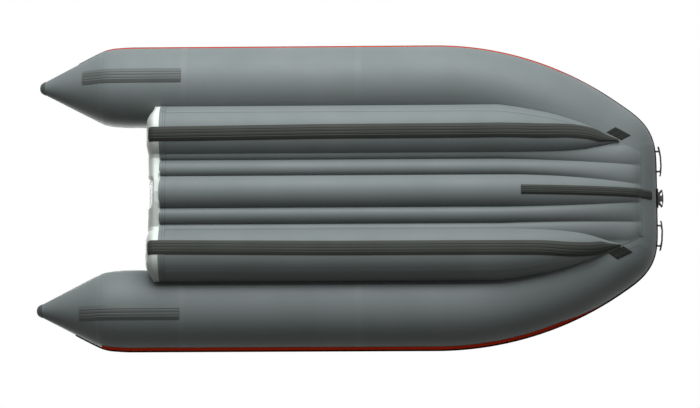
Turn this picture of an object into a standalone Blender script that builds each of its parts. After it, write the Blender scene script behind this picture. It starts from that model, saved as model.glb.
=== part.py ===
"""Inflatable motor boat: side tubes, bow tube, ribbed air floor, transom, benches and fittings.

X runs from the stern cones to the bow, Y to port and Z up. The origin lies under the middle
of the boat, on the surface that the sponson strakes rest on. Sizes are in metres.
"""
import math
from collections import namedtuple

import bmesh
import bpy
from mathutils import Matrix, Vector

# Hull
HULL_LENGTH = 3.30
TUBE_RADIUS = 0.215
TUBE_OFFSET = 0.600
TUBE_SIDES = 30
FABRIC = 0.0009
GAP = 0.0003
EDGE_GAP = 0.0012

# Stern cones, measured from the tip
CONE_LENGTH = 0.50
CONE_SHARES = ((0.03, 0.126), (0.42, 0.595), (0.606, 0.819), (0.71, 0.930), (0.786, 0.970),
               (0.92, 0.994), (1.0, 1.0))
CAP_LENGTH = 0.032
CAP_WALL = 0.0025
SIDE_TUBE_LENGTH = 1.713

# Bow tube, measured back from the front of the boat
BOW_CURVE_RUN = 1.18
BOW_CURVE_RADIUS = 1.521
BOW_CURVE_STEPS = 7
BOW_CORNER_STEPS = 7
BOW_RISE = 0.100
CREASE_RADIUS = 0.030
CORNER_BULGE_SHARE = 0.049

# Baffles
BAFFLE_FLANGE = 0.060
BAFFLE_DISH = 0.080
BAFFLE_SHARES = ((1.0, 0.0), (0.62, 0.70), (0.10, 1.0))

# Rub rail and stripe
RAIL_THICKNESS = 0.0055
RAIL_SHARES = ((-0.95, 0.0), (-0.90, 0.7), (-0.50, 1.0), (0.0, 0.75), (0.50, 1.0), (0.90, 0.7),
               (0.95, 0.0), (0.0, 0.0))
STRIPE_THICKNESS = 0.0012
STRIPE_SHARES = ((-0.94, 0.0), (-0.94, 1.0), (0.94, 1.0), (0.94, 0.0))

# Floor
STERN_BAND_AFT = 0.618
STERN_BAND_LENGTH = 0.058
STERN_BAND_EDGE_INSET = 0.030
FLOOR_TAPER_RUN = 0.850
FLOOR_NOSE_INSET = 0.092
FLOOR_NOSE_RUN = 0.121
FLOOR_EDGE_ANGLE = math.radians(38.2)
VALLEY_BELOW_TUBE = 0.021
VALLEY_SLOPE = 0.13
FLOOR_RISE = 0.136
CENTRE_HALF = 0.085
RIB_WIDTH = 0.085
CENTRE_SAG = 0.047
RIB_SAG = 0.024
CENTRE_NOSE_SHARE = 0.54
INNER_RIB_NOSE_SHARE = 0.89
OUTER_RIB_NOSE_SHARE = 0.88
NOSE_SAG_SHARE = 0.38
RIB_STEPS = 5
WING_MIN = 0.004
DECK_ABOVE_TUBE_FOOT = 0.095
DECK_RISE = 0.070
DECK_RISE_RUN = 1.10
DECK_NOSE_INSET = 0.385
DECK_SAG = 0.010
DECK_RIB_STEPS = 4
WEB_NOSE_INSET = 0.480
WEB_SHARES = (0.177, 0.403, 0.530)

# Plan of the sponsons: share of the taper run, then inner and outer edge as shares of the floor's edge
SPONSON_PLAN_SHARES = ((0.0, 0.434, 1.000), (0.177, 0.436, 0.966), (0.403, 0.444, 0.909),
                       (0.530, 0.454, 0.865), (0.651, 0.471, 0.813), (0.713, 0.485, 0.783),
                       (0.775, 0.503, 0.750), (0.830, 0.523, 0.711), (0.884, 0.545, 0.669),
                       (0.946, 0.566, 0.630), (1.0, 0.582, 0.602))
NOSE_PLAN_SHARES = ((0.45, 0.555), (0.85, 0.500), (1.0, 0.470))
SPONSON_SAG_SHARE = 0.337
SPONSON_STEPS = 18

# Stern band: bulge aft at places across the boat, as shares of the floor's edge and of the bulge
BAND_BULGE = 0.035
BAND_BULGE_SHARES = ((0.0, 0.23), (0.13, 0.25), (0.18, 0.68), (0.40, 0.74), (0.44, 0.70), (0.54, 1.0),
                     (0.74, 1.0), (0.86, 0.60), (1.0, 0.05))
BAND_STEPS = 4

# Strakes and patches, with ridges given across the width and up from the seat
STRAKE_WIDTH = 0.077
STRAKE_HEIGHT = 0.006
STRAKE_ROOM_SHARE = 0.84
STRAKE_PLACE_SHARES = ((-2.85, 0.362), (-1.40, 0.396), (0.0, 0.400), (0.38, 0.454),
                       (0.647, 0.585), (0.781, 0.650), (1.0, 0.680))
STRAKE_BAND_STEPS = 1
KEEL_STRAKE_WIDTH = 0.049
KEEL_STRAKE_RUN = 0.7373
KEEL_STRAKE_NOSE_ANGLES = (41.0, 48.0, 56.0)
RIDGE_SHARES = ((0.0, 0.3), (0.10, 1.0), (0.22, 0.45), (0.36, 1.0), (0.50, 0.45), (0.64, 1.0),
                (0.78, 0.45), (0.90, 1.0), (1.0, 0.3))
SEAT_STEPS = 6
SEAT_GAP = 0.0009
CONE_PATCH_START = 0.245
CONE_PATCH_END = 0.776
CONE_PATCH_WIDTH = 0.077
CONE_PATCH_OFFSET = 0.030
BOW_PATCH_INSET = 0.212
BOW_PATCH_OFFSET = 0.317
BOW_PATCH_LONG = 0.090
BOW_PATCH_SHORT = 0.058
BOW_PATCH_ANGLES = (math.radians(-26.6), math.radians(31.0))
BOW_PATCH_STEPS = 6
BOW_PATCH_THICKNESS = 0.003

# Bow handles and tow eye
FITTING_REACH = 0.039
HANDLE_REACH = 0.035
HANDLE_OFFSET = 0.200
HANDLE_POST_SPACING = 0.109
HANDLE_LENGTH = 0.160
HANDLE_BAR = 0.009
HANDLE_HEIGHT = 0.014
HANDLE_BOW = 0.004
HANDLE_TIP_DROP = 0.010
TOW_PLATE_WIDTH = 0.103
TOW_PLATE_HEIGHT = 0.060
TOW_PLATE_THICKNESS = 0.004
TOW_PIN_RADIUS = 0.0028
TOW_PIN_STANDOFF = 0.0070
TOW_LUG_PLACE = 0.0166
TOW_LUG_WIDTH = 0.0078
TOW_LUG_RADIUS = 0.0055
TOW_RING_SPAN = 0.096
TOW_RING_EYE = 0.009
TOW_RING_BAR = 0.0078
TOW_RING_HEIGHT = 0.009
TOW_LUG_STEPS = 6
RUN_GAP = 0.0005

# Transom
TRANSOM_AFT = 0.630
TRANSOM_THICKNESS = 0.025
TRANSOM_RAKE = math.radians(10.0)
TRANSOM_HEAD = 0.130
TRANSOM_HEAD_HALF = 0.150
TRANSOM_SHOULDER = 0.040
HOLDER_WIDTH = 0.100
HOLDER_BASE = 0.003
HOLDER_LIP_WIDTH = 0.010
HOLDER_LIP_HEIGHT = 0.018
HOLDER_END_SHARE = 0.35
HOLDER_ANGLES = (300.0, 288.0, 276.0, 264.0, 252.0, 240.0)
PLATE_HALF = 0.140
PLATE_DEPTH = 0.120
PLATE_DROP = 0.004
PLATE_THICKNESS = 0.005
DRAIN_OFFSET = -0.250
DRAIN_ABOVE_BOARD_FOOT = 0.0253
DRAIN_RADIUS = 0.014
DRAIN_BORE = 0.010
DRAIN_FLANGE = 0.022
DRAIN_FLANGE_THICKNESS = 0.003
DRAIN_KNOB_RADIUS = 0.016
DRAIN_KNOB_LENGTH = 0.012

# Valves, with the profile radii from the axis and depths from the skin
VALVE_SLEEVE = 0.0195
VALVE_DEPTH = 0.022
VALVE_FLANGE = 0.0285
VALVE_FLANGE_THICKNESS = 0.005
VALVE_WELL = 0.0165
VALVE_SEAT = 0.009
VALVE_SEAT_THICKNESS = 0.006
PLUNGER_HEAD = 0.0065
PLUNGER_STEM = 0.003
PLUNGER_DISC = 0.0135
PLUNGER_DISC_THICKNESS = 0.003
PLUNGER_TRAVEL = 0.005
PLUNGER_TOP = 0.004
CAP_RADIUS = 0.0262
CAP_THICKNESS = 0.0045
CAP_SKIRT_WALL = 0.003
CAP_SKIRT_DEPTH = 0.006
CAP_LOBE_SHARE = 0.93
SIDE_VALVE_PLACE = 0.850
BOW_VALVE_AHEAD = 0.167
VALVE_ANGLE = math.radians(246.0)
FLOOR_VALVE_PLACE = 0.850

# Benches on their rails
RAIL_START = 0.950
RAIL_END = 2.050
BENCH_RAIL_ANGLE = math.radians(210.0)
BENCH_RAIL_WIDTH = 0.040
BENCH_RAIL_BASE = 0.002
SLOT_WALL = 0.003
SLOT_WIDTH = 0.014
SLOT_HEIGHT = 0.006
SLOT_MOUTH = 0.007
SLOT_LIP = 0.002
SHOE_LENGTH = 0.070
SHOE_WIDTH = 0.044
SHOE_RISE = 0.020
BENCH_WIDTH = 0.220
BENCH_THICKNESS = 0.015
BENCH_OVERHANG = 0.010
BENCH_CORNER = 0.040
BENCH_PLACES = (1.170, 1.800)
BENCH_NAMES = ("aft", "fore")

# Oarlocks
OARLOCK_PLACE = 1.480
OARLOCK_ANGLE = math.radians(186.0)
OARLOCK_PAD_RADIUS = 0.045
OARLOCK_PAD_THICKNESS = 0.004
OARLOCK_PAD_SKIRT = 0.012
OARLOCK_BOSS_RADIUS = 0.016
OARLOCK_BOSS_HEIGHT = 0.026
OARLOCK_BORE = 0.0080
OARLOCK_BORE_DEPTH = 0.022
FORK_STEM = 0.008
FORK_PLATE = 0.012
FORK_RADIUS = 0.034
FORK_INNER = 0.025
FORK_MOUTH = math.radians(38.0)
FORK_STEPS = 14

TURN_STEPS = 12
CUT_OVERRUN = 0.010
SHARP_ANGLE = math.radians(35.0)
MERGE = 0.000001

MATERIALS = {
    "hull_pvc": ((0.110, 0.125, 0.130), 0.45, 0.0),
    "strake_rubber": ((0.030, 0.031, 0.029), 0.55, 0.0),
    "rail_rubber": ((0.015, 0.015, 0.015), 0.5, 0.0),
    "stripe_red": ((0.60, 0.030, 0.008), 0.45, 0.0),
    "band_pvc": ((0.62, 0.64, 0.60), 0.5, 0.0),
    "deck_pvc": ((0.36, 0.38, 0.39), 0.55, 0.0),
    "fitting_plastic": ((0.02, 0.02, 0.02), 0.4, 0.0),
    "transom_ply": ((0.045, 0.048, 0.050), 0.35, 0.0),
    "plate_plastic": ((0.03, 0.03, 0.03), 0.5, 0.0),
    "bench_ply": ((0.20, 0.21, 0.21), 0.4, 0.0),
    "valve_plastic": ((0.16, 0.17, 0.17), 0.4, 0.0),
}

UP = Vector((0.0, 0.0, 1.0))
OVERALL = HULL_LENGTH + FITTING_REACH
CURVE_START = HULL_LENGTH - BOW_CURVE_RUN
CURVE_CENTRE_Y = TUBE_OFFSET - BOW_CURVE_RADIUS
FRONT_AXIS = HULL_LENGTH - TUBE_RADIUS
BAND_FORE = STERN_BAND_AFT + STERN_BAND_LENGTH
TAPER_START = HULL_LENGTH - FLOOR_TAPER_RUN
NOSE_END = HULL_LENGTH - FLOOR_NOSE_INSET
TAPER_END = NOSE_END - FLOOR_NOSE_RUN
FLOOR_EDGE = TUBE_OFFSET - TUBE_RADIUS * math.sin(FLOOR_EDGE_ANGLE)
DECK_LEVEL = DECK_ABOVE_TUBE_FOOT - TUBE_RADIUS

Station = namedtuple("Station", "centre out half_width half_height")


def clear_scene():
    """Remove what the scene holds before the boat is built."""
    for item in list(bpy.data.objects):
        bpy.data.objects.remove(item, do_unlink=True)


def material(name):
    """Return the named material, made on its first use."""
    found = bpy.data.materials.get(name)
    if found:
        return found
    colour, roughness, metallic = MATERIALS[name]
    made = bpy.data.materials.new(name)
    made.use_nodes = True
    shader = made.node_tree.nodes["Principled BSDF"]
    shader.inputs["Base Color"].default_value = (*colour, 1.0)
    shader.inputs["Roughness"].default_value = roughness
    shader.inputs["Metallic"].default_value = metallic
    made.diffuse_color = (*colour, 1.0)
    return made


def add_object(name, mesh_data, finish, matrix=None):
    """Link a finished mesh into the scene, smooth on its round faces."""
    if not mesh_data.materials:
        mesh_data.materials.append(material(finish))
    mesh_data.shade_smooth()
    mesh_data.set_sharp_from_angle(angle=SHARP_ANGLE)
    item = bpy.data.objects.new(name, mesh_data)
    bpy.context.scene.collection.objects.link(item)
    if matrix is not None:
        item.matrix_world = matrix
    return item


def finish_mesh(name, form, outward=True):
    """Turn a bmesh into a mesh, with the faces of a closed form pointing out."""
    bmesh.ops.remove_doubles(form, verts=form.verts, dist=MERGE)
    if outward:
        bmesh.ops.recalc_face_normals(form, faces=form.faces)
    mesh_data = bpy.data.meshes.new(name)
    form.to_mesh(mesh_data)
    form.free()
    return mesh_data


def placed(point):
    """Move a point from the hull's own axes to the boat's frame."""
    return Vector((point[0] - OVERALL / 2, point[1], point[2] + AXIS_HEIGHT))


def skin(name, rows, finish, side=-1.0, wrap=False, tip=None):
    """Make a fabric sheet from rows of points; side picks the way it thickens from its faces."""
    form = bmesh.new()
    grid = [[form.verts.new(placed(point)) for point in row] for row in rows]
    width = len(rows[0])
    for first, second in zip(grid, grid[1:]):
        for column in range(width if wrap else width - 1):
            following = (column + 1) % width
            form.faces.new((first[column], second[column], second[following], first[following]))
    if tip == "first":
        form.faces.new(grid[0])
    elif tip == "last":
        form.faces.new(list(reversed(grid[-1])))
    item = add_object(name, finish_mesh(name, form, outward=False), finish)
    thickness = item.modifiers.new("fabric", "SOLIDIFY")
    thickness.thickness = FABRIC
    thickness.offset = side
    return item


def strip(name, sections, finish, matrix=None, local=False):
    """Join equal closed sections into one solid bar with flat ends."""
    form = bmesh.new()
    move = Vector if local else placed
    rings = [[form.verts.new(move(point)) for point in section] for section in sections]
    count = len(sections[0])
    for first, second in zip(rings, rings[1:]):
        for place in range(count):
            following = (place + 1) % count
            form.faces.new((first[place], second[place], second[following], first[following]))
    form.faces.new(rings[0])
    form.faces.new(list(reversed(rings[-1])))
    return add_object(name, finish_mesh(name, form), finish, matrix)


def turned_mesh(name, profile, lobes=None, steps=TURN_STEPS):
    """Spin a closed profile of (radius, height) points about Z."""
    form = bmesh.new()
    points = [form.verts.new((radius, 0.0, height)) for radius, height in profile]
    edges = [form.edges.new((first, second)) for first, second in zip(points, points[1:] + points[:1])
             if first.co.x > 0.0 or second.co.x > 0.0]
    bmesh.ops.spin(form, geom=points + edges, cent=(0, 0, 0), axis=(0, 0, 1),
                   angle=math.tau, steps=steps, use_duplicate=False)
    bmesh.ops.remove_doubles(form, verts=form.verts, dist=MERGE)
    if lobes:
        radius_from, share = lobes
        for vert in form.verts:
            turn = math.atan2(vert.co.y, vert.co.x) / math.tau * TURN_STEPS
            if vert.co.xy.length > radius_from and round(turn) % 2:
                vert.co.x *= share
                vert.co.y *= share
    return finish_mesh(name, form)


def cylinder_cutter(name, matrix, radius, low, high):
    """Add a hidden cylinder between two heights on a frame's Z axis."""
    form = bmesh.new()
    bmesh.ops.create_cone(form, cap_ends=True, segments=TURN_STEPS, radius1=radius, radius2=radius,
                          depth=high - low, matrix=Matrix.Translation((0, 0, (high + low) / 2)))
    return hidden(add_object(name, finish_mesh(name, form), "fitting_plastic", matrix))


def hidden(item):
    """Mark an object as a cutter that isn't part of the boat."""
    item.hide_render = True
    item.display_type = "WIRE"
    return item


def combine(item, other, operation):
    """Add a Boolean of another object to an object."""
    change = item.modifiers.new(other.name, "BOOLEAN")
    change.operation = operation
    change.solver = "EXACT"
    change.object = other
    return item


def blend(low, high, share):
    """Return the value at a share of the way between two values."""
    return low + (high - low) * share


def table_value(table, place, column=1):
    """Read a column of a table of rows by straight lines between its places."""
    if place <= table[0][0]:
        return table[0][column]
    for first, second in zip(table, table[1:]):
        if place <= second[0]:
            return blend(first[column], second[column], (place - first[0]) / (second[0] - first[0]))
    return table[-1][column]


# Tubes

def bow_rise(along):
    """Return how far the tube's centreline has risen at a place along the boat."""
    share = max(0.0, along - CURVE_START) / (FRONT_AXIS - CURVE_START)
    return BOW_RISE * share * share


def corner_pivot():
    """Return the pivot of the bow corner in plan and the heading at which the corner starts."""
    inner = BOW_CURVE_RADIUS - TUBE_RADIUS - CREASE_RADIUS
    pivot_x = FRONT_AXIS - TUBE_RADIUS - CREASE_RADIUS
    heading = math.asin(min(1.0, (pivot_x - CURVE_START) / inner))
    return pivot_x, CURVE_CENTRE_Y + inner * math.cos(heading), heading


def corner_half_width(heading):
    """Return half the tube's width in plan on the way round the bow corner."""
    start = corner_pivot()[2]
    share = (heading - start) / (math.pi / 2 - start)
    return TUBE_RADIUS * (1 + CORNER_BULGE_SHARE * math.sin(math.pi * share) ** 2)


def straight_station(along, radius=TUBE_RADIUS):
    """Return the station of the port tube where it runs straight."""
    centre = Vector((along, TUBE_OFFSET, bow_rise(along)))
    return Station(centre, Vector((0.0, 1.0, 0.0)), radius, radius)


def cone_stations():
    """Return the stations of the port cone from its tip."""
    return [straight_station(CONE_LENGTH * along, TUBE_RADIUS * radius) for along, radius in CONE_SHARES]


def bow_stations():
    """Return the port half of the bow tube's stations, from the baffle to the middle of the bow."""
    pivot_x, pivot_y, corner = corner_pivot()
    stations = [straight_station(SIDE_TUBE_LENGTH + GAP), straight_station(CURVE_START)]
    for step in range(1, BOW_CURVE_STEPS + 1):
        heading = corner * step / BOW_CURVE_STEPS
        out = Vector((math.sin(heading), math.cos(heading), 0.0))
        centre = Vector((CURVE_START, CURVE_CENTRE_Y, 0.0)) + out * BOW_CURVE_RADIUS
        centre.z = bow_rise(centre.x)
        stations.append(Station(centre, out, TUBE_RADIUS, TUBE_RADIUS))
    for step in range(1, BOW_CORNER_STEPS + 1):
        heading = blend(corner, math.pi / 2, step / BOW_CORNER_STEPS)
        half = corner_half_width(heading)
        out = Vector((math.sin(heading), math.cos(heading), 0.0))
        centre = Vector((pivot_x, pivot_y, 0.0)) + out * (CREASE_RADIUS + half)
        centre.z = bow_rise(centre.x)
        stations.append(Station(centre, out, half, TUBE_RADIUS))
    return stations


def mirrored_stations(stations):
    """Return the same stations on the starboard side, in the order met after the bow."""
    flip = Vector((1.0, -1.0, 1.0))
    return [Station(item.centre * flip, item.out * flip, item.half_width, item.half_height)
            for item in reversed(stations)]


def ring_point(station, angle, lift=0.0):
    """Return a point on the tube: angle 0 is straight down, a quarter turn is outboard."""
    across = station.out * (station.half_width + lift) * math.sin(angle)
    return station.centre + across - UP * (station.half_height + lift) * math.cos(angle)


def tube_ring(station, lift=0.0):
    """Return the corners of the tube's section, ordered so that faces point out."""
    return [ring_point(station, -math.tau * side / TUBE_SIDES, lift) for side in range(TUBE_SIDES)]


def tube_underside(along, across):
    """Return the height of the tube's underside over a place in plan, or None beside the tube."""
    across = abs(across)
    pivot_x, pivot_y, corner = corner_pivot()
    if along <= CURVE_START:
        offset, half, axis_x = across - TUBE_OFFSET, TUBE_RADIUS, along
    elif math.atan2(along - CURVE_START, across - CURVE_CENTRE_Y) <= corner:
        heading = math.atan2(along - CURVE_START, across - CURVE_CENTRE_Y)
        offset = math.hypot(along - CURVE_START, across - CURVE_CENTRE_Y) - BOW_CURVE_RADIUS
        half, axis_x = TUBE_RADIUS, CURVE_START + BOW_CURVE_RADIUS * math.sin(heading)
    elif across > pivot_y:
        heading = math.atan2(along - pivot_x, across - pivot_y)
        half = corner_half_width(heading)
        offset = math.hypot(along - pivot_x, across - pivot_y) - CREASE_RADIUS - half
        axis_x = pivot_x + (CREASE_RADIUS + half) * math.sin(heading)
    else:
        offset, half, axis_x = along - FRONT_AXIS, TUBE_RADIUS, FRONT_AXIS
    if abs(offset) >= half:
        return None
    return bow_rise(axis_x) - TUBE_RADIUS * math.sqrt(1 - (offset / half) ** 2)


def make_tubes():
    """Build the two side tubes and the bow tube, each open at its baffle end."""
    port = cone_stations() + [straight_station(SIDE_TUBE_LENGTH - GAP)]
    skin("port_side_tube", [tube_ring(item) for item in port], "hull_pvc", wrap=True, tip="first")
    skin("starboard_side_tube", [tube_ring(item) for item in mirrored_stations(port)], "hull_pvc",
         wrap=True, tip="last")
    half = bow_stations()
    skin("bow_tube", [tube_ring(item) for item in half + mirrored_stations(half)], "hull_pvc", wrap=True)


def make_baffles():
    """Build the dished diaphragms that part the side chambers from the bow chamber."""
    radius = TUBE_RADIUS - FABRIC - GAP
    for name, across in (("port_baffle", TUBE_OFFSET), ("starboard_baffle", -TUBE_OFFSET)):
        out = Vector((0.0, math.copysign(1.0, across), 0.0))
        stations = [Station(Vector((SIDE_TUBE_LENGTH - BAFFLE_FLANGE / 2, across, 0.0)), out, radius, radius)]
        for size, depth in BAFFLE_SHARES:
            centre = Vector((SIDE_TUBE_LENGTH + BAFFLE_FLANGE / 2 + BAFFLE_DISH * depth, across, 0.0))
            stations.append(Station(centre, out, radius * size, radius * size))
        rings = [tube_ring(item) for item in stations]
        if across < 0.0:
            rings = [list(reversed(ring)) for ring in rings]
        skin(name, rings, "hull_pvc", wrap=True, tip="last")


def make_cone_caps():
    """Build the moulded caps over the tips of the cones."""
    start, second = cone_stations()[:2]
    slope = (second.half_width - start.half_width) / (second.centre.x - start.centre.x)
    end = start.half_width + slope * (CAP_LENGTH - start.centre.x)
    seat = start.centre.x - GAP
    profile = [(0.0, 0.0), (start.half_width * 0.6, seat * 0.25), (start.half_width, seat * 0.8),
               (end + CAP_WALL, CAP_LENGTH), (end + GAP, CAP_LENGTH), (start.half_width + GAP, seat),
               (0.0, seat)]
    for name, across in (("port_cone_cap", TUBE_OFFSET), ("starboard_cone_cap", -TUBE_OFFSET)):
        turn = Matrix.Translation(placed((0.0, across, 0.0))) @ Matrix.Rotation(math.pi / 2, 4, "Y")
        add_object(name, turned_mesh(name, profile, steps=TUBE_SIDES), "fitting_plastic", turn)


# Rub rail and stripe

def outer_band(name, stations, shares, middle, thickness, finish, ends=False):
    """Lay a strip along one facet of the tube's outer side."""
    half = math.pi / TUBE_SIDES
    sections = []
    for place, station in enumerate(stations):
        taper = 1.0
        if ends and place in (0, len(stations) - 1):
            taper = WING_MIN / TUBE_RADIUS / half
        sections.append([ring_point(station, middle + half * taper * across, GAP + thickness * up)
                         for across, up in shares])
    return strip(name, sections, finish)


def make_rub_rail():
    """Build the rub rail round the boat and the red stripe on the facet below it."""
    port = cone_stations()[1:] + [straight_station(SIDE_TUBE_LENGTH)] + bow_stations()[1:]
    path = port + mirrored_stations(port)
    outer_band("rub_rail", path, RAIL_SHARES, math.pi / 2, RAIL_THICKNESS, "rail_rubber")
    port = port[2:]
    path = port + mirrored_stations(port)
    middle = math.pi / 2 - math.tau / TUBE_SIDES
    outer_band("red_stripe", path, STRIPE_SHARES, middle, STRIPE_THICKNESS, "stripe_red", ends=True)


# Floor

def floor_places():
    """Return the places along the boat at which the floor's shape is given."""
    run = TAPER_END - TAPER_START
    places = [BAND_FORE + GAP, CURVE_START, (CURVE_START + TAPER_START) / 2]
    places += [TAPER_START + run * row[0] for row in SPONSON_PLAN_SHARES]
    return places + [TAPER_END + FLOOR_NOSE_RUN * row[0] for row in NOSE_PLAN_SHARES]


def sponson_edges(along):
    """Return the inner and outer edge of a sponson."""
    share = (along - TAPER_START) / (TAPER_END - TAPER_START)
    return (FLOOR_EDGE * table_value(SPONSON_PLAN_SHARES, share, 1),
            FLOOR_EDGE * table_value(SPONSON_PLAN_SHARES, share, 2))


def floor_edge(along):
    """Return half the width of the floor's bottom skin."""
    if along <= TAPER_END:
        return sponson_edges(along)[1]
    last = SPONSON_PLAN_SHARES[-1][2]
    share = (along - TAPER_END) / FLOOR_NOSE_RUN
    return FLOOR_EDGE * table_value(((0.0, last),) + NOSE_PLAN_SHARES, share)


def floor_rise(along):
    """Return how far the floor has risen towards the bow."""
    share = max(0.0, along - TAPER_START) / (NOSE_END - TAPER_START)
    return FLOOR_RISE * share * share


def rib_lines(along):
    """Return where the valleys between the ribs run, from the middle outwards."""
    share = max(0.0, along - TAPER_START) / (NOSE_END - TAPER_START)
    outer = min(CENTRE_HALF + 2 * RIB_WIDTH, floor_edge(along) - WING_MIN)
    if along > TAPER_START:
        outer = min(outer, floor_edge(along) - WING_MIN)
    return (CENTRE_HALF * blend(1.0, CENTRE_NOSE_SHARE, share * share),
            (CENTRE_HALF + RIB_WIDTH) * blend(1.0, INNER_RIB_NOSE_SHARE, share),
            outer)


def arc_drop(width, sag, place):
    """Return how far an arc over a width hangs below its chord, with place from 0 to 1."""
    if sag <= 0.0:
        return 0.0
    radius = (width * width / 4 + sag * sag) / (2 * sag)
    return math.sqrt(radius * radius - (width * (place - 1 / 2)) ** 2) - (radius - sag)


def valley_height(along, across):
    """Return the height of the bottom skin's valleys, which end on the bow tube's underside."""
    height = -(TUBE_RADIUS + VALLEY_BELOW_TUBE) + VALLEY_SLOPE * (across - CENTRE_HALF) + floor_rise(along)
    tube = tube_underside(along, across)
    if tube is None:
        return height
    seat = tube - EDGE_GAP - 2 * FABRIC
    share = max(0.0, along - TAPER_END) / FLOOR_NOSE_RUN
    return min(blend(height, seat, share * share), seat)


def hull_profile(along):
    """Return the port half of the bottom skin's section as (across, height) points."""
    lines = (0.0,) + rib_lines(along)
    share = max(0.0, along - TAPER_START) / (NOSE_END - TAPER_START)
    scale = 0.0 if along >= NOSE_END - MERGE else blend(1.0, NOSE_SAG_SHARE, share)
    points = []
    for rib, (inner, outer) in enumerate(zip(lines, lines[1:])):
        sag = (RIB_SAG if rib else CENTRE_SAG) * scale
        for step in range(RIB_STEPS):
            place = step / RIB_STEPS
            across = blend(inner, outer, place)
            if rib:
                chord = blend(valley_height(along, inner), valley_height(along, outer), place)
                drop = arc_drop(outer - inner, sag, place)
            else:
                chord = valley_height(along, outer)
                drop = arc_drop(2 * outer, sag, (1 + place) / 2)
            points.append((across, chord - drop))
    points.append((lines[-1], valley_height(along, lines[-1])))
    edge = floor_edge(along)
    points.append((edge, tube_underside(along, edge) - EDGE_GAP - 2 * FABRIC))
    return points


def height_on(profile, across):
    """Return the height of a section at a place across the boat."""
    return table_value(profile, across)


def sponson_profile(along):
    """Return the outer section of the port sponson from its inner to its outer edge."""
    inner, outer = sponson_edges(along)
    hull = hull_profile(along)
    seat = FABRIC + 3 * GAP
    low = Vector((inner, height_on(hull, inner) - seat))
    high = Vector((outer, height_on(hull, outer) - seat))
    chord = high - low
    sag = chord.length * SPONSON_SAG_SHARE
    down = Vector((chord.y, -chord.x)).normalized()
    half_turn = 2 * math.atan(2 * SPONSON_SAG_SHARE)
    radius = chord.length / 2 / math.sin(half_turn)
    centre = (low + high) / 2 - down * (radius - sag)
    points = []
    for step in range(SPONSON_STEPS + 1):
        turn = half_turn * (2 * step / SPONSON_STEPS - 1)
        points.append(centre + radius * (down * math.cos(turn) + chord.normalized() * math.sin(turn)))
    return [tuple(point) for point in points]


def both_sides(profile):
    """Return a half section with its mirror image before it."""
    return [(-across, height) for across, height in reversed(profile[1:])] + list(profile)


def at_place(along, profile):
    """Put a section at a place along the boat."""
    return [(along, across, height) for across, height in profile]


def mirrored_rows(rows):
    """Return rows of points on the other side, in an order that keeps the way faces point."""
    return [[(x, -y, z) for x, y, z in reversed(row)] for row in rows]


def make_bottom():
    """Build the ribbed bottom skin and the two sponsons below it."""
    places = floor_places()
    rows = [at_place(along, both_sides(hull_profile(along))) for along in places]
    skin("floor_bottom_skin", rows, "hull_pvc", side=1.0)
    rows = [at_place(along, sponson_profile(along)) for along in places if along <= TAPER_END + MERGE]
    skin("port_sponson", rows, "hull_pvc", side=1.0)
    skin("starboard_sponson", mirrored_rows(rows), "hull_pvc", side=1.0)


def deck_height(along):
    """Return the level of the deck's valleys."""
    start = HULL_LENGTH - DECK_RISE_RUN
    share = max(0.0, along - start) / (DECK_RISE_RUN - DECK_NOSE_INSET)
    return DECK_LEVEL + DECK_RISE * share * share


def deck_edge(along):
    """Return half the width of the deck, where it meets the tube's inner side."""
    low, high = 0.0, floor_edge(along)
    level = deck_height(along) + EDGE_GAP + FABRIC
    for _ in range(TUBE_SIDES):
        middle = (low + high) / 2
        tube = tube_underside(along, middle)
        if tube is None or tube > level:
            low = middle
        else:
            high = middle
    return low


def deck_lines(along):
    """Return the places across the deck of its valleys, from the middle to the edge."""
    edge = deck_edge(along)
    scale = edge / deck_edge(BAND_FORE)
    return [0.0] + [line * scale for line in rib_lines(BAND_FORE)] + [edge]


def web_places():
    """Return the places at which the webs and the deck share their sections."""
    end = HULL_LENGTH - WEB_NOSE_INSET
    plan = [TAPER_START + (TAPER_END - TAPER_START) * share for share in WEB_SHARES]
    places = [along for along in floor_places() if along <= TAPER_START + MERGE] + plan
    return [along for along in places if along < end]


def make_deck():
    """Build the deck skin with its low ribs."""
    nose = HULL_LENGTH - DECK_NOSE_INSET
    rows = []
    for along in [STERN_BAND_AFT] + web_places() + [nose]:
        lines = deck_lines(along)
        half = []
        for rib, (inner, outer) in enumerate(zip(lines, lines[1:])):
            for step in range(DECK_RIB_STEPS):
                place = step / DECK_RIB_STEPS
                rise = arc_drop(outer - inner, DECK_SAG, place)
                if not rib:
                    rise = arc_drop(2 * outer, DECK_SAG, (1 + place) / 2)
                half.append((blend(inner, outer, place), deck_height(along) + rise))
        half.append((lines[-1], deck_height(along)))
        rows.append(at_place(along, both_sides(half)))
    skin("floor_deck_skin", rows, "deck_pvc")


def make_webs():
    """Build the lengthwise webs that hold the deck to the bottom along each valley."""
    places = web_places()
    names = ("inner", "outer")
    for number, name in enumerate(names):
        rows = []
        for along in places:
            line = rib_lines(along)[number]
            foot = height_on(hull_profile(along), line) + FABRIC + GAP
            head = deck_height(along) - FABRIC - GAP
            top = deck_lines(along)[number + 1]
            rows.append([(along, line, foot), (along, blend(line, top, 1 / 2), (foot + head) / 2),
                         (along, top, head)])
        skin("port_%s_web" % name, rows, "hull_pvc", side=0.0)
        skin("starboard_%s_web" % name, mirrored_rows(rows), "hull_pvc", side=0.0)


def stern_profile():
    """Return the port half of the lowest line at the floor's aft end."""
    along = floor_places()[0]
    inner, _ = sponson_edges(along)
    hull = [point for point in hull_profile(along) if point[0] < inner - WING_MIN]
    return hull + sponson_profile(along)


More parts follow.
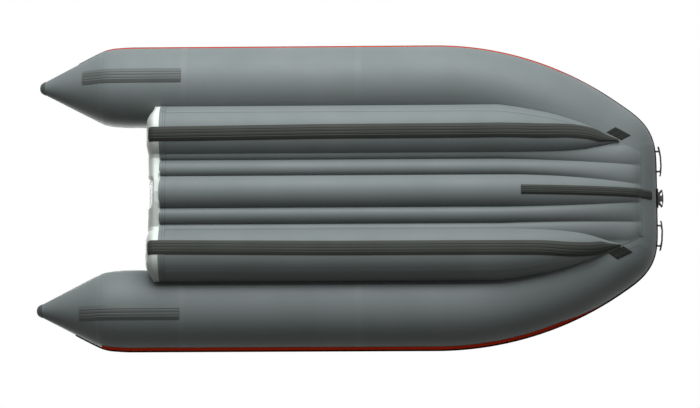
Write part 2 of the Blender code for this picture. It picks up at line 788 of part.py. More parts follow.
def band_row(profile, turn):
    """Return a row of the stern band, at a turn from its flat lower part (0) to its top edge (pi)."""
    base = BAND_FORE - STERN_BAND_EDGE_INSET
    share = (1 - math.cos(turn)) / 2
    row = []
    for across, height in profile:
        top = DECK_LEVEL - FABRIC - GAP
        tube = tube_underside(base, across)
        if tube is not None:
            top = min(top, tube - EDGE_GAP - 2 * FABRIC)
        bulge = BAND_BULGE * table_value(BAND_BULGE_SHARES, abs(across) / FLOOR_EDGE)
        along = blend(base, STERN_BAND_AFT, share) - bulge * math.sin(turn)
        row.append((along, across, blend(height, max(top, height + GAP), share)))
    return row


def make_stern_band():
    """Build the pale band that closes the floor and sponsons aft, bulging like the ends it covers."""
    profile = both_sides(stern_profile())
    rows = [at_place(BAND_FORE, profile)]
    rows += [band_row(profile, math.pi * step / BAND_STEPS) for step in range(BAND_STEPS + 1)]
    skin("stern_band", list(reversed(rows)), "band_pvc", side=1.0)


# Strakes and patches

def line_lengths(profile):
    """Return the distance along a section at each of its points."""
    lengths = [0.0]
    for first, second in zip(profile, profile[1:]):
        lengths.append(lengths[-1] + math.dist(first, second))
    return lengths


def on_row(row, profile, distance, lift, turn):
    """Return the point at a distance along a row of a skin, lifted off its outer side."""
    lengths = line_lengths(profile)
    place = max(index for index in range(len(profile) - 1) if not index or lengths[index] <= distance)
    share = (distance - lengths[place]) / (lengths[place + 1] - lengths[place])
    way = (Vector(profile[place + 1]) - Vector(profile[place])).normalized()
    out = Vector((-math.sin(turn), way.y * math.cos(turn), -way.x * math.cos(turn)))
    return Vector(row[place]).lerp(Vector(row[place + 1]), share) + out * lift


def ridged_section(row, profile, middle, width, turn=0.0):
    """Return the closed section of a ridged strake that lies on a row of a skin."""
    start = middle - width / 2
    spots = [(step / SEAT_STEPS, 0.0) for step in range(SEAT_STEPS + 1)]
    spots += list(reversed(RIDGE_SHARES))
    return [tuple(on_row(row, profile, start + width * across, SEAT_GAP + STRAKE_HEIGHT * up, turn))
            for across, up in spots]


def sponson_places():
    """Return the places along the boat at which the sponsons' sections are given."""
    return [along for along in floor_places() if along <= TAPER_END + MERGE]


def sponson_strake_section(along, turn=None):
    """Return the section of the port sponson's strake, or its part that turns up the stern band."""
    profile = sponson_profile(along)
    row = at_place(along, profile) if turn is None else band_row(profile, turn)
    lengths = line_lengths(profile)
    share = (along - TAPER_START) / (TAPER_END - TAPER_START)
    across = blend(profile[0][0], profile[-1][0], table_value(STRAKE_PLACE_SHARES, share))
    middle = table_value([(point[0], length) for point, length in zip(profile, lengths)], across)
    room = 2 * min(middle, lengths[-1] - middle)
    width = min(STRAKE_WIDTH, room * STRAKE_ROOM_SHARE)
    return ridged_section(row, profile, middle, width, turn or 0.0)


def make_strakes():
    """Build the strakes on the sponsons and the one on the middle rib and bow tube."""
    places = sponson_places()
    places += [(aft + fore) / 2 for aft, fore in zip(places, places[1:]) if aft >= TAPER_START - MERGE]
    places.sort()
    turns = [math.pi * step / BAND_STEPS for step in range(STRAKE_BAND_STEPS, -1, -1)]
    sections = [sponson_strake_section(places[0], turn) for turn in turns]
    sections += [sponson_strake_section(along) for along in places]
    strip("port_sponson_strake", sections, "strake_rubber")
    strip("starboard_sponson_strake", mirrored_rows(sections), "strake_rubber")
    sections = []
    for along in floor_places():
        if along >= HULL_LENGTH - KEEL_STRAKE_RUN - MERGE:
            profile = both_sides(hull_profile(along))
            middle = line_lengths(profile)[-1] / 2
            sections.append(ridged_section(at_place(along, profile), profile, middle, KEEL_STRAKE_WIDTH))
    sections += [keel_strake_nose(math.radians(angle)) for angle in KEEL_STRAKE_NOSE_ANGLES]
    strip("keel_strake", sections, "strake_rubber")


def keel_strake_nose(angle):
    """Return a section of the keel strake where it runs up the front of the bow tube."""
    axis = Vector((FRONT_AXIS, 0.0, bow_rise(FRONT_AXIS)))
    out = Vector((math.sin(angle), 0.0, -math.cos(angle)))
    seat = TUBE_RADIUS + SEAT_GAP
    spots = [(step / SEAT_STEPS, 0.0) for step in range(SEAT_STEPS + 1)] + list(reversed(RIDGE_SHARES))
    return [axis + out * (seat + STRAKE_HEIGHT * up) + Vector((0, KEEL_STRAKE_WIDTH * (across - 1 / 2), 0))
            for across, up in spots]


def make_cone_patches():
    """Build the ribbed patches under the cones, where the stern touches the beach."""
    stations = cone_stations()[1:] + [straight_station(CONE_PATCH_END)]
    first, second = stations[:2]
    share = (CONE_PATCH_START - first.centre.x) / (second.centre.x - first.centre.x)
    parts = (share, (share + 1) / 2)
    ends = (first.centre.x, second.centre.x)
    sizes = (first.half_width, second.half_width)
    stations = [straight_station(blend(*ends, part), blend(*sizes, part)) for part in parts] + stations[1:]
    sections = []
    for station in stations:
        radius = station.half_width
        start = (CONE_PATCH_OFFSET - CONE_PATCH_WIDTH / 2) / radius
        turn = CONE_PATCH_WIDTH / radius
        section = [ring_point(station, start + turn * step / SEAT_STEPS, SEAT_GAP)
                   for step in range(SEAT_STEPS + 1)]
        section += [ring_point(station, start + turn * across, SEAT_GAP + STRAKE_HEIGHT * up)
                    for across, up in reversed(RIDGE_SHARES)]
        sections.append([tuple(point) for point in section])
    strip("port_cone_patch", sections, "strake_rubber")
    strip("starboard_cone_patch", mirrored_rows(sections), "strake_rubber")


def make_bow_patches():
    """Build the two small patches on the bow tube ahead of the sponsons."""
    middle = Vector((HULL_LENGTH - BOW_PATCH_INSET, BOW_PATCH_OFFSET))
    long_way = Vector((math.cos(BOW_PATCH_ANGLES[0]), math.sin(BOW_PATCH_ANGLES[0]))) * BOW_PATCH_LONG
    short_way = Vector((math.cos(BOW_PATCH_ANGLES[1]), math.sin(BOW_PATCH_ANGLES[1]))) * BOW_PATCH_SHORT
    sections = []
    for row in range(BOW_PATCH_STEPS + 1):
        start = middle + short_way * (row / BOW_PATCH_STEPS - 1 / 2)
        line = [start + long_way * (step / BOW_PATCH_STEPS - 1 / 2) for step in range(BOW_PATCH_STEPS + 1)]
        seat = [(spot.x, spot.y, tube_underside(spot.x, spot.y) - SEAT_GAP) for spot in line]
        face = [(x, y, z - BOW_PATCH_THICKNESS) for x, y, z in reversed(seat)]
        sections.append(seat + face)
    strip("port_bow_patch", sections, "strake_rubber")
    strip("starboard_bow_patch", mirrored_rows(sections), "strake_rubber")


# Bow handles and tow eye

def plate(name, outline, low, high, finish, axis="z", matrix=None, local=False):
    """Extrude an outline between two places along an axis."""
    order = {"z": lambda u, v, w: (u, v, w), "x": lambda u, v, w: (w, u, v),
             "y": lambda u, v, w: (u, w, v)}[axis]
    sections = [[order(u, v, place) for u, v in outline] for place in (low, high)]
    return strip(name, sections, finish, matrix, local)


def fitting_seat():
    """Return the plane on the rub rail at the bow that the fittings stand on."""
    return HULL_LENGTH + RAIL_THICKNESS + 2 * GAP


def bow_front(across):
    """Return how far forward the tube's outer edge is at a place across the bow."""
    outer = [ring_point(station, math.pi / 2) for station in bow_stations()]
    return table_value([(point.y, point.x) for point in reversed(outer)], across)


def make_bow_handles():
    """Build the two carrying handles, each a bowed bar on two posts that stand on the rub rail."""
    post, half_bar, tip = HANDLE_POST_SPACING / 2, HANDLE_BAR / 2, HANDLE_LENGTH / 2
    inner, outer = (Vector((bow_front(HANDLE_OFFSET + way * post), HANDLE_OFFSET + way * post))
                    for way in (-1.0, 1.0))
    along = (outer - inner).normalized()
    out = Vector((along.y, -along.x))
    foot = RAIL_THICKNESS + 2 * GAP
    under = HANDLE_REACH - HANDLE_BOW - HANDLE_BAR
    side = [(foot, post + half_bar), (under, post + half_bar), (under, tip - half_bar),
            (under - HANDLE_TIP_DROP / 2, tip - half_bar), (under - HANDLE_TIP_DROP / 2, tip),
            (under + half_bar, tip), (HANDLE_REACH - HANDLE_BOW, post + half_bar), (HANDLE_REACH, post / 2)]
    inside = [(HANDLE_REACH - HANDLE_BAR, post / 2), (under, post - half_bar), (foot, post - half_bar)]
    outline = side + [(u, -v) for u, v in reversed(side)] + [(u, -v) for u, v in reversed(inside)] + inside
    level, middle = bow_rise(FRONT_AXIS), (inner + outer) / 2
    points = [middle + out * u + along * v for u, v in outline]
    for name, side_way in (("port_bow_handle", 1.0), ("starboard_bow_handle", -1.0)):
        plate(name, [(point.x, point.y * side_way) for point in points], level - HANDLE_HEIGHT / 2,
              level + HANDLE_HEIGHT / 2, "fitting_plastic")


def make_tow_eye():
    """Build the tow eye's base with its lugs and pin, and the ring that swings on the pin."""
    seat = fitting_seat()
    level = bow_rise(FRONT_AXIS)
    face = seat + TOW_PLATE_THICKNESS
    pin_x = face + TOW_PIN_STANDOFF
    half, rise = TOW_PLATE_WIDTH / 2, TOW_PLATE_HEIGHT / 2
    corner = TOW_LUG_WIDTH
    side = [(half, rise - corner), (half - corner, rise)]
    outline = side + [(-across, up) for across, up in reversed(side)]
    outline += [(across, -up) for across, up in reversed(outline)]
    outline = [(across, level + up) for across, up in outline]
    base = plate("tow_eye_base", outline, seat, face, "fitting_plastic", axis="x")
    root = face - TOW_PLATE_THICKNESS / 2
    for name, low in (("port_lug", TOW_LUG_PLACE), ("starboard_lug", -TOW_LUG_PLACE - TOW_LUG_WIDTH)):
        turns = (math.pi * step / TOW_LUG_STEPS for step in range(TOW_LUG_STEPS + 1))
        rounding = [(pin_x + TOW_LUG_RADIUS * math.sin(turn), level + TOW_LUG_RADIUS * math.cos(turn))
                    for turn in turns]
        outline = rounding + [(root, level - TOW_LUG_RADIUS), (root, level + TOW_LUG_RADIUS)]
        lug = plate(name, outline, low, low + TOW_LUG_WIDTH, "fitting_plastic", axis="y")
        combine(base, hidden(lug), "UNION")
    frame = Matrix.Translation(placed((pin_x, 0.0, level))) @ Matrix.Rotation(math.pi / 2, 4, "X")
    end = TOW_LUG_PLACE + TOW_LUG_WIDTH + TOW_RING_EYE + RUN_GAP
    pin = cylinder_cutter("tow_pin_form", frame, TOW_PIN_RADIUS, -end, end)
    combine(base, pin, "UNION")
    make_tow_ring(frame, OVERALL - pin_x, end)


def make_tow_ring(frame, reach, end):
    """Build the tow ring: a hub and two eyes on the pin, joined by arms and a wide outer bar."""
    hub = TOW_LUG_PLACE - RUN_GAP
    eye = TOW_LUG_PLACE + TOW_LUG_WIDTH + RUN_GAP
    span, half = TOW_RING_SPAN / 2, TOW_RING_HEIGHT / 2
    bar = reach - TOW_RING_BAR
    side = [(reach, hub), (reach - half, span - half), (reach - TOW_RING_BAR, span),
            (bar - half, span), (-half / 2, end), (-half, end), (-half, eye),
            (TOW_LUG_RADIUS + RUN_GAP, eye), (bar, span - TOW_RING_BAR - half), (bar, hub), (-half, hub)]
    outline = side + [(x, -y) for x, y in reversed(side)]
    pivot = Matrix.Translation(frame.to_translation())
    ring = plate("tow_ring", outline, -half, half, "fitting_plastic", matrix=pivot, local=True)
    bore = cylinder_cutter("tow_ring_bore", frame, TOW_PIN_RADIUS + RUN_GAP, -span, span)
    combine(ring, bore, "DIFFERENCE")


# Transom

def transom_place(height, offset=0.0):
    """Return the place along the boat of the raked transom's middle plane."""
    return TRANSOM_AFT + TRANSOM_THICKNESS / 2 + (DECK_LEVEL - height) * math.tan(TRANSOM_RAKE) + offset


def raked_plate(name, outline, back, front, finish):
    """Extrude a (across, height) outline along X between two offsets from the raked plane."""
    sections = [[(transom_place(height, offset), across, height) for across, height in outline]
                for offset in (back, front)]
    return strip(name, sections, finish)


def make_transom():
    """Build the plywood transom, its two glued holders and the motor plates."""
    reach = TUBE_RADIUS + HOLDER_BASE + 2 * GAP
    side = [(TUBE_OFFSET + reach * math.sin(math.radians(angle)), -reach * math.cos(math.radians(angle)))
            for angle in HOLDER_ANGLES]
    shoulder = TRANSOM_HEAD_HALF + TRANSOM_SHOULDER
    half = side + [(shoulder, side[-1][1]), (TRANSOM_HEAD_HALF, TRANSOM_HEAD)]
    outline = half + [(-across, height) for across, height in reversed(half)]
    thick = TRANSOM_THICKNESS / 2
    board = raked_plate("transom_board", outline, -thick, thick, "transom_ply")
    make_holders()
    top = TRANSOM_HEAD - PLATE_DROP
    face = [(-PLATE_HALF, top - PLATE_DEPTH), (PLATE_HALF, top - PLATE_DEPTH), (PLATE_HALF, top),
            (-PLATE_HALF, top)]
    raked_plate("outer_motor_plate", face, -thick - GAP - PLATE_THICKNESS, -thick - GAP, "plate_plastic")
    raked_plate("inner_motor_plate", face, thick + GAP, thick + GAP + PLATE_THICKNESS, "plate_plastic")
    make_drain(board, side[0][1] + DRAIN_ABOVE_BOARD_FOOT)


def make_holders():
    """Build the U-shaped strips that hold the transom's edges to the side tubes."""
    half, thick = HOLDER_WIDTH / 2, TRANSOM_THICKNESS / 2 + GAP
    outer = thick + HOLDER_LIP_WIDTH
    sections = []
    for angle in HOLDER_ANGLES:
        taper = HOLDER_END_SHARE if angle in (HOLDER_ANGLES[0], HOLDER_ANGLES[-1]) else 1.0
        base, lip = HOLDER_BASE, blend(HOLDER_BASE, HOLDER_LIP_HEIGHT, taper)
        side = [(half, 0.0), (half, base / 2), (outer, base), (thick + HOLDER_LIP_WIDTH / 2, lip),
                (thick, lip), (thick, base)]
        shape = side + [(-offset, height) for offset, height in reversed(side)]
        section = []
        for offset, lift in shape:
            reach = TUBE_RADIUS + GAP + lift
            height = -reach * math.cos(math.radians(angle))
            across = TUBE_OFFSET + reach * math.sin(math.radians(angle))
            section.append((transom_place(height, offset), across, height))
        sections.append(section)
    strip("port_transom_holder", sections, "rail_rubber")
    strip("starboard_transom_holder", mirrored_rows(sections), "rail_rubber")


def make_drain(board, height):
    """Build the drain socket through the transom at a height and the plug that closes it from aft."""
    place = placed((transom_place(height), DRAIN_OFFSET, height))
    frame = Matrix.Translation(place) @ Matrix.Rotation(-math.pi / 2 - TRANSOM_RAKE, 4, "Y")
    half = TRANSOM_THICKNESS / 2 + GAP
    cutter = cylinder_cutter("drain_hole", frame, DRAIN_RADIUS + GAP, -half - CUT_OVERRUN, half + CUT_OVERRUN)
    combine(board, cutter, "DIFFERENCE")
    face = half + DRAIN_FLANGE_THICKNESS
    socket = [(DRAIN_BORE, -half), (DRAIN_RADIUS, -half), (DRAIN_RADIUS, half), (DRAIN_FLANGE, half),
              (DRAIN_FLANGE, face), (DRAIN_BORE, face)]
    add_object("drain_socket", turned_mesh("drain_socket", socket), "valve_plastic", frame)
    stem = DRAIN_BORE - GAP
    plug = [(0.0, 0.0), (stem, 0.0), (stem, face + GAP), (DRAIN_KNOB_RADIUS, face + GAP),
            (DRAIN_KNOB_RADIUS, face + DRAIN_KNOB_LENGTH / 2), (stem, face + DRAIN_KNOB_LENGTH),
            (0.0, face + DRAIN_KNOB_LENGTH)]
    mesh_data = turned_mesh("drain_plug", plug, lobes=(DRAIN_BORE, CAP_LOBE_SHARE))
    add_object("drain_plug", mesh_data, "fitting_plastic", frame)


# Valves

def valve_meshes():
    """Return the shared meshes of a valve's body, plunger and cap."""
    top = VALVE_FLANGE_THICKNESS
    well = VALVE_SEAT_THICKNESS - VALVE_DEPTH
    body = [(VALVE_SEAT, -VALVE_DEPTH), (VALVE_SLEEVE, -VALVE_DEPTH), (VALVE_SLEEVE, GAP),
            (VALVE_FLANGE, GAP), (VALVE_FLANGE, top / 2), (CAP_RADIUS, top), (VALVE_WELL, top),
            (VALVE_WELL, well), (VALVE_SEAT, well)]
    under = -VALVE_DEPTH - GAP
    head = -PLUNGER_TOP
    plunger = [(0.0, under - PLUNGER_DISC_THICKNESS), (PLUNGER_DISC, under - PLUNGER_DISC_THICKNESS),
               (PLUNGER_DISC, under), (PLUNGER_STEM, under), (PLUNGER_STEM, head - PLUNGER_STEM),
               (PLUNGER_HEAD, head - PLUNGER_STEM), (PLUNGER_HEAD, head), (0.0, head)]
    seat = top + GAP
    skirt = VALVE_WELL * math.cos(math.pi / TURN_STEPS) - GAP
    cap = [(0.0, seat), (skirt - CAP_SKIRT_WALL, seat), (skirt - CAP_SKIRT_WALL, top - CAP_SKIRT_DEPTH),
           (skirt, top - CAP_SKIRT_DEPTH), (skirt, seat), (CAP_RADIUS, seat),
           (CAP_RADIUS, seat + CAP_THICKNESS * 2 / 3), (CAP_RADIUS - CAP_THICKNESS / 2, seat + CAP_THICKNESS),
           (0.0, seat + CAP_THICKNESS)]
    return (turned_mesh("valve_body", body), turned_mesh("valve_plunger", plunger),
            turned_mesh("valve_cap", cap, lobes=(VALVE_FLANGE - CAP_THICKNESS, CAP_LOBE_SHARE)))


def facing(point, normal, along=Vector((1.0, 0.0, 0.0))):
    """Return a frame at a point whose Z axis is the normal and whose X axis lies along the boat."""
    side = normal.cross(along).normalized()
    turn = Matrix((side.cross(normal), side, normal)).transposed().to_4x4()
    return Matrix.Translation(placed(point)) @ turn


def facet_frame(along, angle, side=1.0):
    """Return the frame at the middle of a facet of a straight side tube."""
    normal = Vector((0.0, side * math.sin(angle), -math.cos(angle)))
    reach = TUBE_RADIUS * math.cos(math.pi / TUBE_SIDES)
    return facing(Vector((along, side * TUBE_OFFSET, 0.0)) + normal * reach, normal)


def make_valves():
    """Build a valve in each side tube, in the bow tube and in the deck."""
    lines = deck_lines(FLOOR_VALVE_PLACE)
    crest = Vector((FLOOR_VALVE_PLACE, (lines[-2] + lines[-1]) / 2, DECK_LEVEL + DECK_SAG))
    frames = {
        "port_side": (facet_frame(SIDE_VALVE_PLACE, VALVE_ANGLE), "port_side_tube"),
        "starboard_side": (facet_frame(SIDE_VALVE_PLACE, VALVE_ANGLE, -1.0), "starboard_side_tube"),
        "bow": (facet_frame(SIDE_TUBE_LENGTH + BOW_VALVE_AHEAD, VALVE_ANGLE), "bow_tube"),
        "floor": (facing(crest, UP), "floor_deck_skin"),
    }
    body, plunger, cap = valve_meshes()
    for name, (frame, carrier) in frames.items():
        add_object(name + "_valve_body", body, "valve_plastic", frame)
        add_object(name + "_valve_plunger", plunger, "fitting_plastic", frame)
        add_object(name + "_valve_cap", cap, "fitting_plastic", frame)
        cutter = cylinder_cutter(name + "_valve_hole", frame, VALVE_SLEEVE + GAP, -CUT_OVERRUN, CUT_OVERRUN)
        combine(bpy.data.objects[carrier], cutter, "DIFFERENCE")


# Benches

def rail_point(side, across, lift):
    """Return (across, height) of a point of the bench rail, from the middle of its facet."""
    reach = TUBE_RADIUS * math.cos(math.pi / TUBE_SIDES) + GAP + lift
    sine, cosine = math.sin(BENCH_RAIL_ANGLE), math.cos(BENCH_RAIL_ANGLE)
    return (side * (TUBE_OFFSET + reach * sine + across * cosine), -reach * cosine + across * sine)


def make_bench_rails():
    """Build the slotted rubber rails that are glued along the side tubes."""
    base, half = BENCH_RAIL_BASE, BENCH_RAIL_WIDTH / 2
    slot, mouth = SLOT_WIDTH / 2, SLOT_MOUTH / 2
    wall, lip = slot + SLOT_WALL, base + SLOT_HEIGHT
    right = [(half, 0.0), (half, base), (wall, base), (wall, lip + SLOT_LIP), (mouth, lip + SLOT_LIP),
             (mouth, lip), (slot, lip), (slot, base)]
    shape = right + [(-across, lift) for across, lift in reversed(right)]
    for name, side in (("port_bench_rail", 1.0), ("starboard_bench_rail", -1.0)):
        outline = [rail_point(side, across, lift) for across, lift in shape]
        plate(name, outline, RAIL_START, RAIL_END, "rail_rubber", axis="x")


def make_benches():
    """Build the benches, each a board on two shoes that slide in the rails."""
    base, slot, mouth = BENCH_RAIL_BASE + GAP, SLOT_WIDTH / 2 - GAP, SLOT_MOUTH / 2 - GAP
    lip = BENCH_RAIL_BASE + SLOT_HEIGHT
    crown = lip + SLOT_LIP + GAP
    head = [(slot, base), (slot, lip - GAP), (mouth, lip - GAP), (mouth, crown)]
    for middle, name in zip(BENCH_PLACES, BENCH_NAMES):
        for side_name, side in (("port", 1.0), ("starboard", -1.0)):
            lower = [rail_point(side, across, lift) for across, lift in head]
            other = [rail_point(side, -across, lift) for across, lift in reversed(head)]
            centre, level = rail_point(side, 0.0, crown)
            top = level + SHOE_RISE
            wide = rail_point(side, SHOE_WIDTH / 2, crown)
            far = rail_point(side, -SHOE_WIDTH / 2, crown)
            outline = lower + [wide, (wide[0], top), (far[0], top), far] + other
            plate("%s_bench_%s_shoe" % (name, side_name), outline, middle - SHOE_LENGTH / 2,
                  middle + SHOE_LENGTH / 2, "fitting_plastic", axis="x")
        reach = abs(centre) + SHOE_WIDTH / 2 + BENCH_OVERHANG
        width, cut = BENCH_WIDTH / 2, BENCH_CORNER
        corner = [(width, reach - cut), (width - cut / 3, reach - cut / 3), (width - cut, reach)]
        half = corner + [(-x, y) for x, y in reversed(corner)]
        outline = [(middle + x, y) for x, y in half] + [(middle + x, -y) for x, y in reversed(half)]
        plate("%s_bench_board" % name, outline, top + GAP, top + GAP + BENCH_THICKNESS, "bench_ply")


# Oarlocks

def tube_cutter(name, side, along, half_length):
    """Add a hidden length of side tube that trims a pad to the tube's facets."""
    stations = [straight_station(along + offset, TUBE_RADIUS + GAP) for offset in (-half_length, half_length)]
    sections = [[(point.x, side * point.y, point.z) for point in tube_ring(item)] for item in stations]
    return hidden(strip(name, sections, "hull_pvc"))


def make_oarlocks():
    """Build the oarlock bases on the side tubes and the forks that turn in them."""
    bore_foot = OARLOCK_BOSS_HEIGHT - OARLOCK_BORE_DEPTH
    pad = [(0.0, -OARLOCK_PAD_SKIRT), (OARLOCK_PAD_RADIUS, -OARLOCK_PAD_SKIRT),
           (OARLOCK_PAD_RADIUS, OARLOCK_PAD_THICKNESS / 2), (OARLOCK_BOSS_RADIUS, OARLOCK_PAD_THICKNESS),
           (OARLOCK_BOSS_RADIUS, OARLOCK_BOSS_HEIGHT), (OARLOCK_BORE, OARLOCK_BOSS_HEIGHT),
           (OARLOCK_BORE, bore_foot), (0.0, bore_foot)]
    base_mesh = turned_mesh("oarlock_base", pad)
    for name, side in (("port", 1.0), ("starboard", -1.0)):
        frame = facet_frame(OARLOCK_PLACE, OARLOCK_ANGLE, side)
        base = add_object(name + "_oarlock_base", base_mesh, "fitting_plastic", frame)
        cutter = tube_cutter(name + "_pad_trim", side, OARLOCK_PLACE, 2 * OARLOCK_PAD_RADIUS)
        combine(base, cutter, "DIFFERENCE")
        make_fork(name + "_oarlock_fork", frame)


def make_fork(name, frame):
    """Build an open fork on a square stem that stands in the base's bore."""
    foot = OARLOCK_BOSS_HEIGHT - OARLOCK_BORE_DEPTH + GAP
    middle = OARLOCK_BOSS_HEIGHT + GAP + FORK_RADIUS + FORK_STEM / 2
    half = FORK_STEM / 2
    root = math.asin(half / FORK_RADIUS)
    turns = [blend(root, math.pi - FORK_MOUTH, step / FORK_STEPS) for step in range(FORK_STEPS + 1)]
    right = [(FORK_RADIUS * math.sin(turn), middle - FORK_RADIUS * math.cos(turn)) for turn in turns]
    turns = [blend(0.0, math.pi - FORK_MOUTH, step / FORK_STEPS) for step in range(FORK_STEPS + 1)]
    inside = [(FORK_INNER * math.sin(turn), middle - FORK_INNER * math.cos(turn)) for turn in reversed(turns)]
    half_outline = [(half, foot)] + right + inside[:-1]
    outline = half_outline + [inside[-1]] + [(-u, v) for u, v in reversed(half_outline)]
    plate(name, outline, -FORK_PLATE / 2, FORK_PLATE / 2, "fitting_plastic", axis="y", matrix=frame, local=True)


def ground_height():
    """Return the height of the tubes' axes over the surface that the sponson strakes rest on."""
    sections = [sponson_strake_section(along) for along in sponson_places()]
    return -min(point[2] for section in sections for point in section)


def make_boat():
    """Build every piece of the boat."""
    clear_scene()
    make_tubes()
    make_baffles()
    make_cone_caps()
    make_rub_rail()
    make_bottom()
    make_deck()
    make_webs()
    make_stern_band()
    make_strakes()
    make_cone_patches()
    make_bow_patches()
    make_bow_handles()
    make_tow_eye()
    make_transom()
    make_valves()
    make_bench_rails()
    make_benches()
    make_oarlocks()


AXIS_HEIGHT = ground_height()
make_boat()
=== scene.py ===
"""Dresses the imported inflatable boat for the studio.

The CAD nodes give the places. Each sub-assembly below is a class that holds its sizes in metres and
builds its own pieces in the boat's frame: X towards the bow, Y to port, Z up.
"""

import logging
import math
from dataclasses import dataclass, replace
from enum import Enum
from functools import wraps
from typing import Callable, Optional, Sequence

import bpy
import numpy as np
from mathutils import Matrix, Vector


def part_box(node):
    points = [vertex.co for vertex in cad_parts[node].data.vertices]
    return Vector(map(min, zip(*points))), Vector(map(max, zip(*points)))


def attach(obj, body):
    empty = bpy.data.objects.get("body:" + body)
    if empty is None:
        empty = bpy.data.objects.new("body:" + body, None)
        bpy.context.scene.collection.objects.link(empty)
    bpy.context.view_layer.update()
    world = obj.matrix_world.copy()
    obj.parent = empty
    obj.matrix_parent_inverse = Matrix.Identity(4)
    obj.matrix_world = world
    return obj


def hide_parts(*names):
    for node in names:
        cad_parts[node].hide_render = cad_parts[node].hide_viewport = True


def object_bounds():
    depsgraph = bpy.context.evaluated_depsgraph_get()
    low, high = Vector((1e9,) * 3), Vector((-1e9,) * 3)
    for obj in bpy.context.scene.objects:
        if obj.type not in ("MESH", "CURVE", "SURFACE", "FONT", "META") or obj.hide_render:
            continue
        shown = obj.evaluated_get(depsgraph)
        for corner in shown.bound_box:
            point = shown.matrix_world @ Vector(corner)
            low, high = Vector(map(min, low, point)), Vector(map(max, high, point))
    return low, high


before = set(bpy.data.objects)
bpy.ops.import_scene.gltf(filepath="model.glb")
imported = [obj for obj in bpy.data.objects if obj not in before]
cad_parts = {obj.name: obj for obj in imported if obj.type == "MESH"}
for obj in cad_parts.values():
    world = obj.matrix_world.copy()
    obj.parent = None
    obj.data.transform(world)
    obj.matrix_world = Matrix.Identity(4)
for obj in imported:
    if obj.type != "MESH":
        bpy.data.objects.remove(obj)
CAD_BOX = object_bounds()

LOG = logging.getLogger("boat")
UP = Vector((0.0, 0.0, 1.0))
HULL = "hull"

# Angles in degrees, lengths in metres, and shares of other values
MERGE = 0.00001
SMOOTH_ANGLE = 35.0
BAR_BEVEL_ANGLE = 50.0
FLAT_ANGLE = 1.0
EDGE_ANGLE = 30.0
VALVE_RADIUS = 0.0195
VALVE_SIDES = 48
VALVE_DEPTH = 0.02
GRAIN_FINE_SHARE = 0.6
SCUFF_STRETCH = (0.18, 1.0, 1.0)
SCUFF_PATCH_SCALE = 0.15
TREAD_SLANT = 1.7

Node = bpy.types.Node
Piece = bpy.types.Object
Socket = bpy.types.NodeSocket
Tree = bpy.types.NodeTree
Pair = tuple[float, float]
Triple = tuple[float, float, float]
Point = Sequence[float]
Profile = list[Pair]
Rows = list[list[Vector]]
Table = Sequence[tuple[float, ...]]


class Side(Enum):
    """The two sides of the boat, each with the sign of its Y."""

    PORT = 1.0
    STARBOARD = -1.0

    @property
    def word(self) -> str:
        """Return the side's name as it stands in the nodes' names."""
        return self.name.lower()

    def of(self, rows: Rows) -> Rows:
        """Return rows of points on this side, turned so that faces keep pointing out.

        Args:
            rows: rows of points on the port side.
        """
        if self is Side.PORT:
            return rows
        return [[Vector((p.x, -p.y, p.z)) for p in reversed(row)] for row in rows]


def blend(low: float, high: float, share: float) -> float:
    """Return the value at a share of the way between two values."""
    return low + (high - low) * share


def table_value(table: Table, place: float, column: int = 1) -> float:
    """Read a table of rows by straight lines between its places.

    Args:
        table: rows that start with a place.
        place: where to read.
        column: which value of the row.

    Returns:
        The value, held at the table's ends.
    """
    if place <= table[0][0]:
        return table[0][column]
    for first, second in zip(table, table[1:]):
        if place <= second[0]:
            return blend(first[column], second[column], (place - first[0]) / (second[0] - first[0]))
    return table[-1][column]


def eased_value(table: Table, place: float, reach: float, column: int = 1) -> float:
    """Read a table with its corners rounded over a reach to each side."""
    spots = (-1.0, -0.5, 0.0, 0.5, 1.0)
    return sum(table_value(table, place + spot * reach, column) for spot in spots) / len(spots)


def steps_between(low: float, high: float, count: int) -> list[float]:
    """Return a count of even steps from low to high, both ends included."""
    return [blend(low, high, step / count) for step in range(count + 1)]


def joined_steps(ends: Sequence[float], counts: Sequence[int]) -> list[float]:
    """Return even steps over stretches that follow each other, with each shared end once.

    Args:
        ends: the ends of the stretches, in order.
        counts: how many steps each stretch has.
    """
    steps = [ends[0]]
    for low, high, count in zip(ends, ends[1:], counts):
        steps += steps_between(low, high, count)[1:]
    return steps


# Finishes


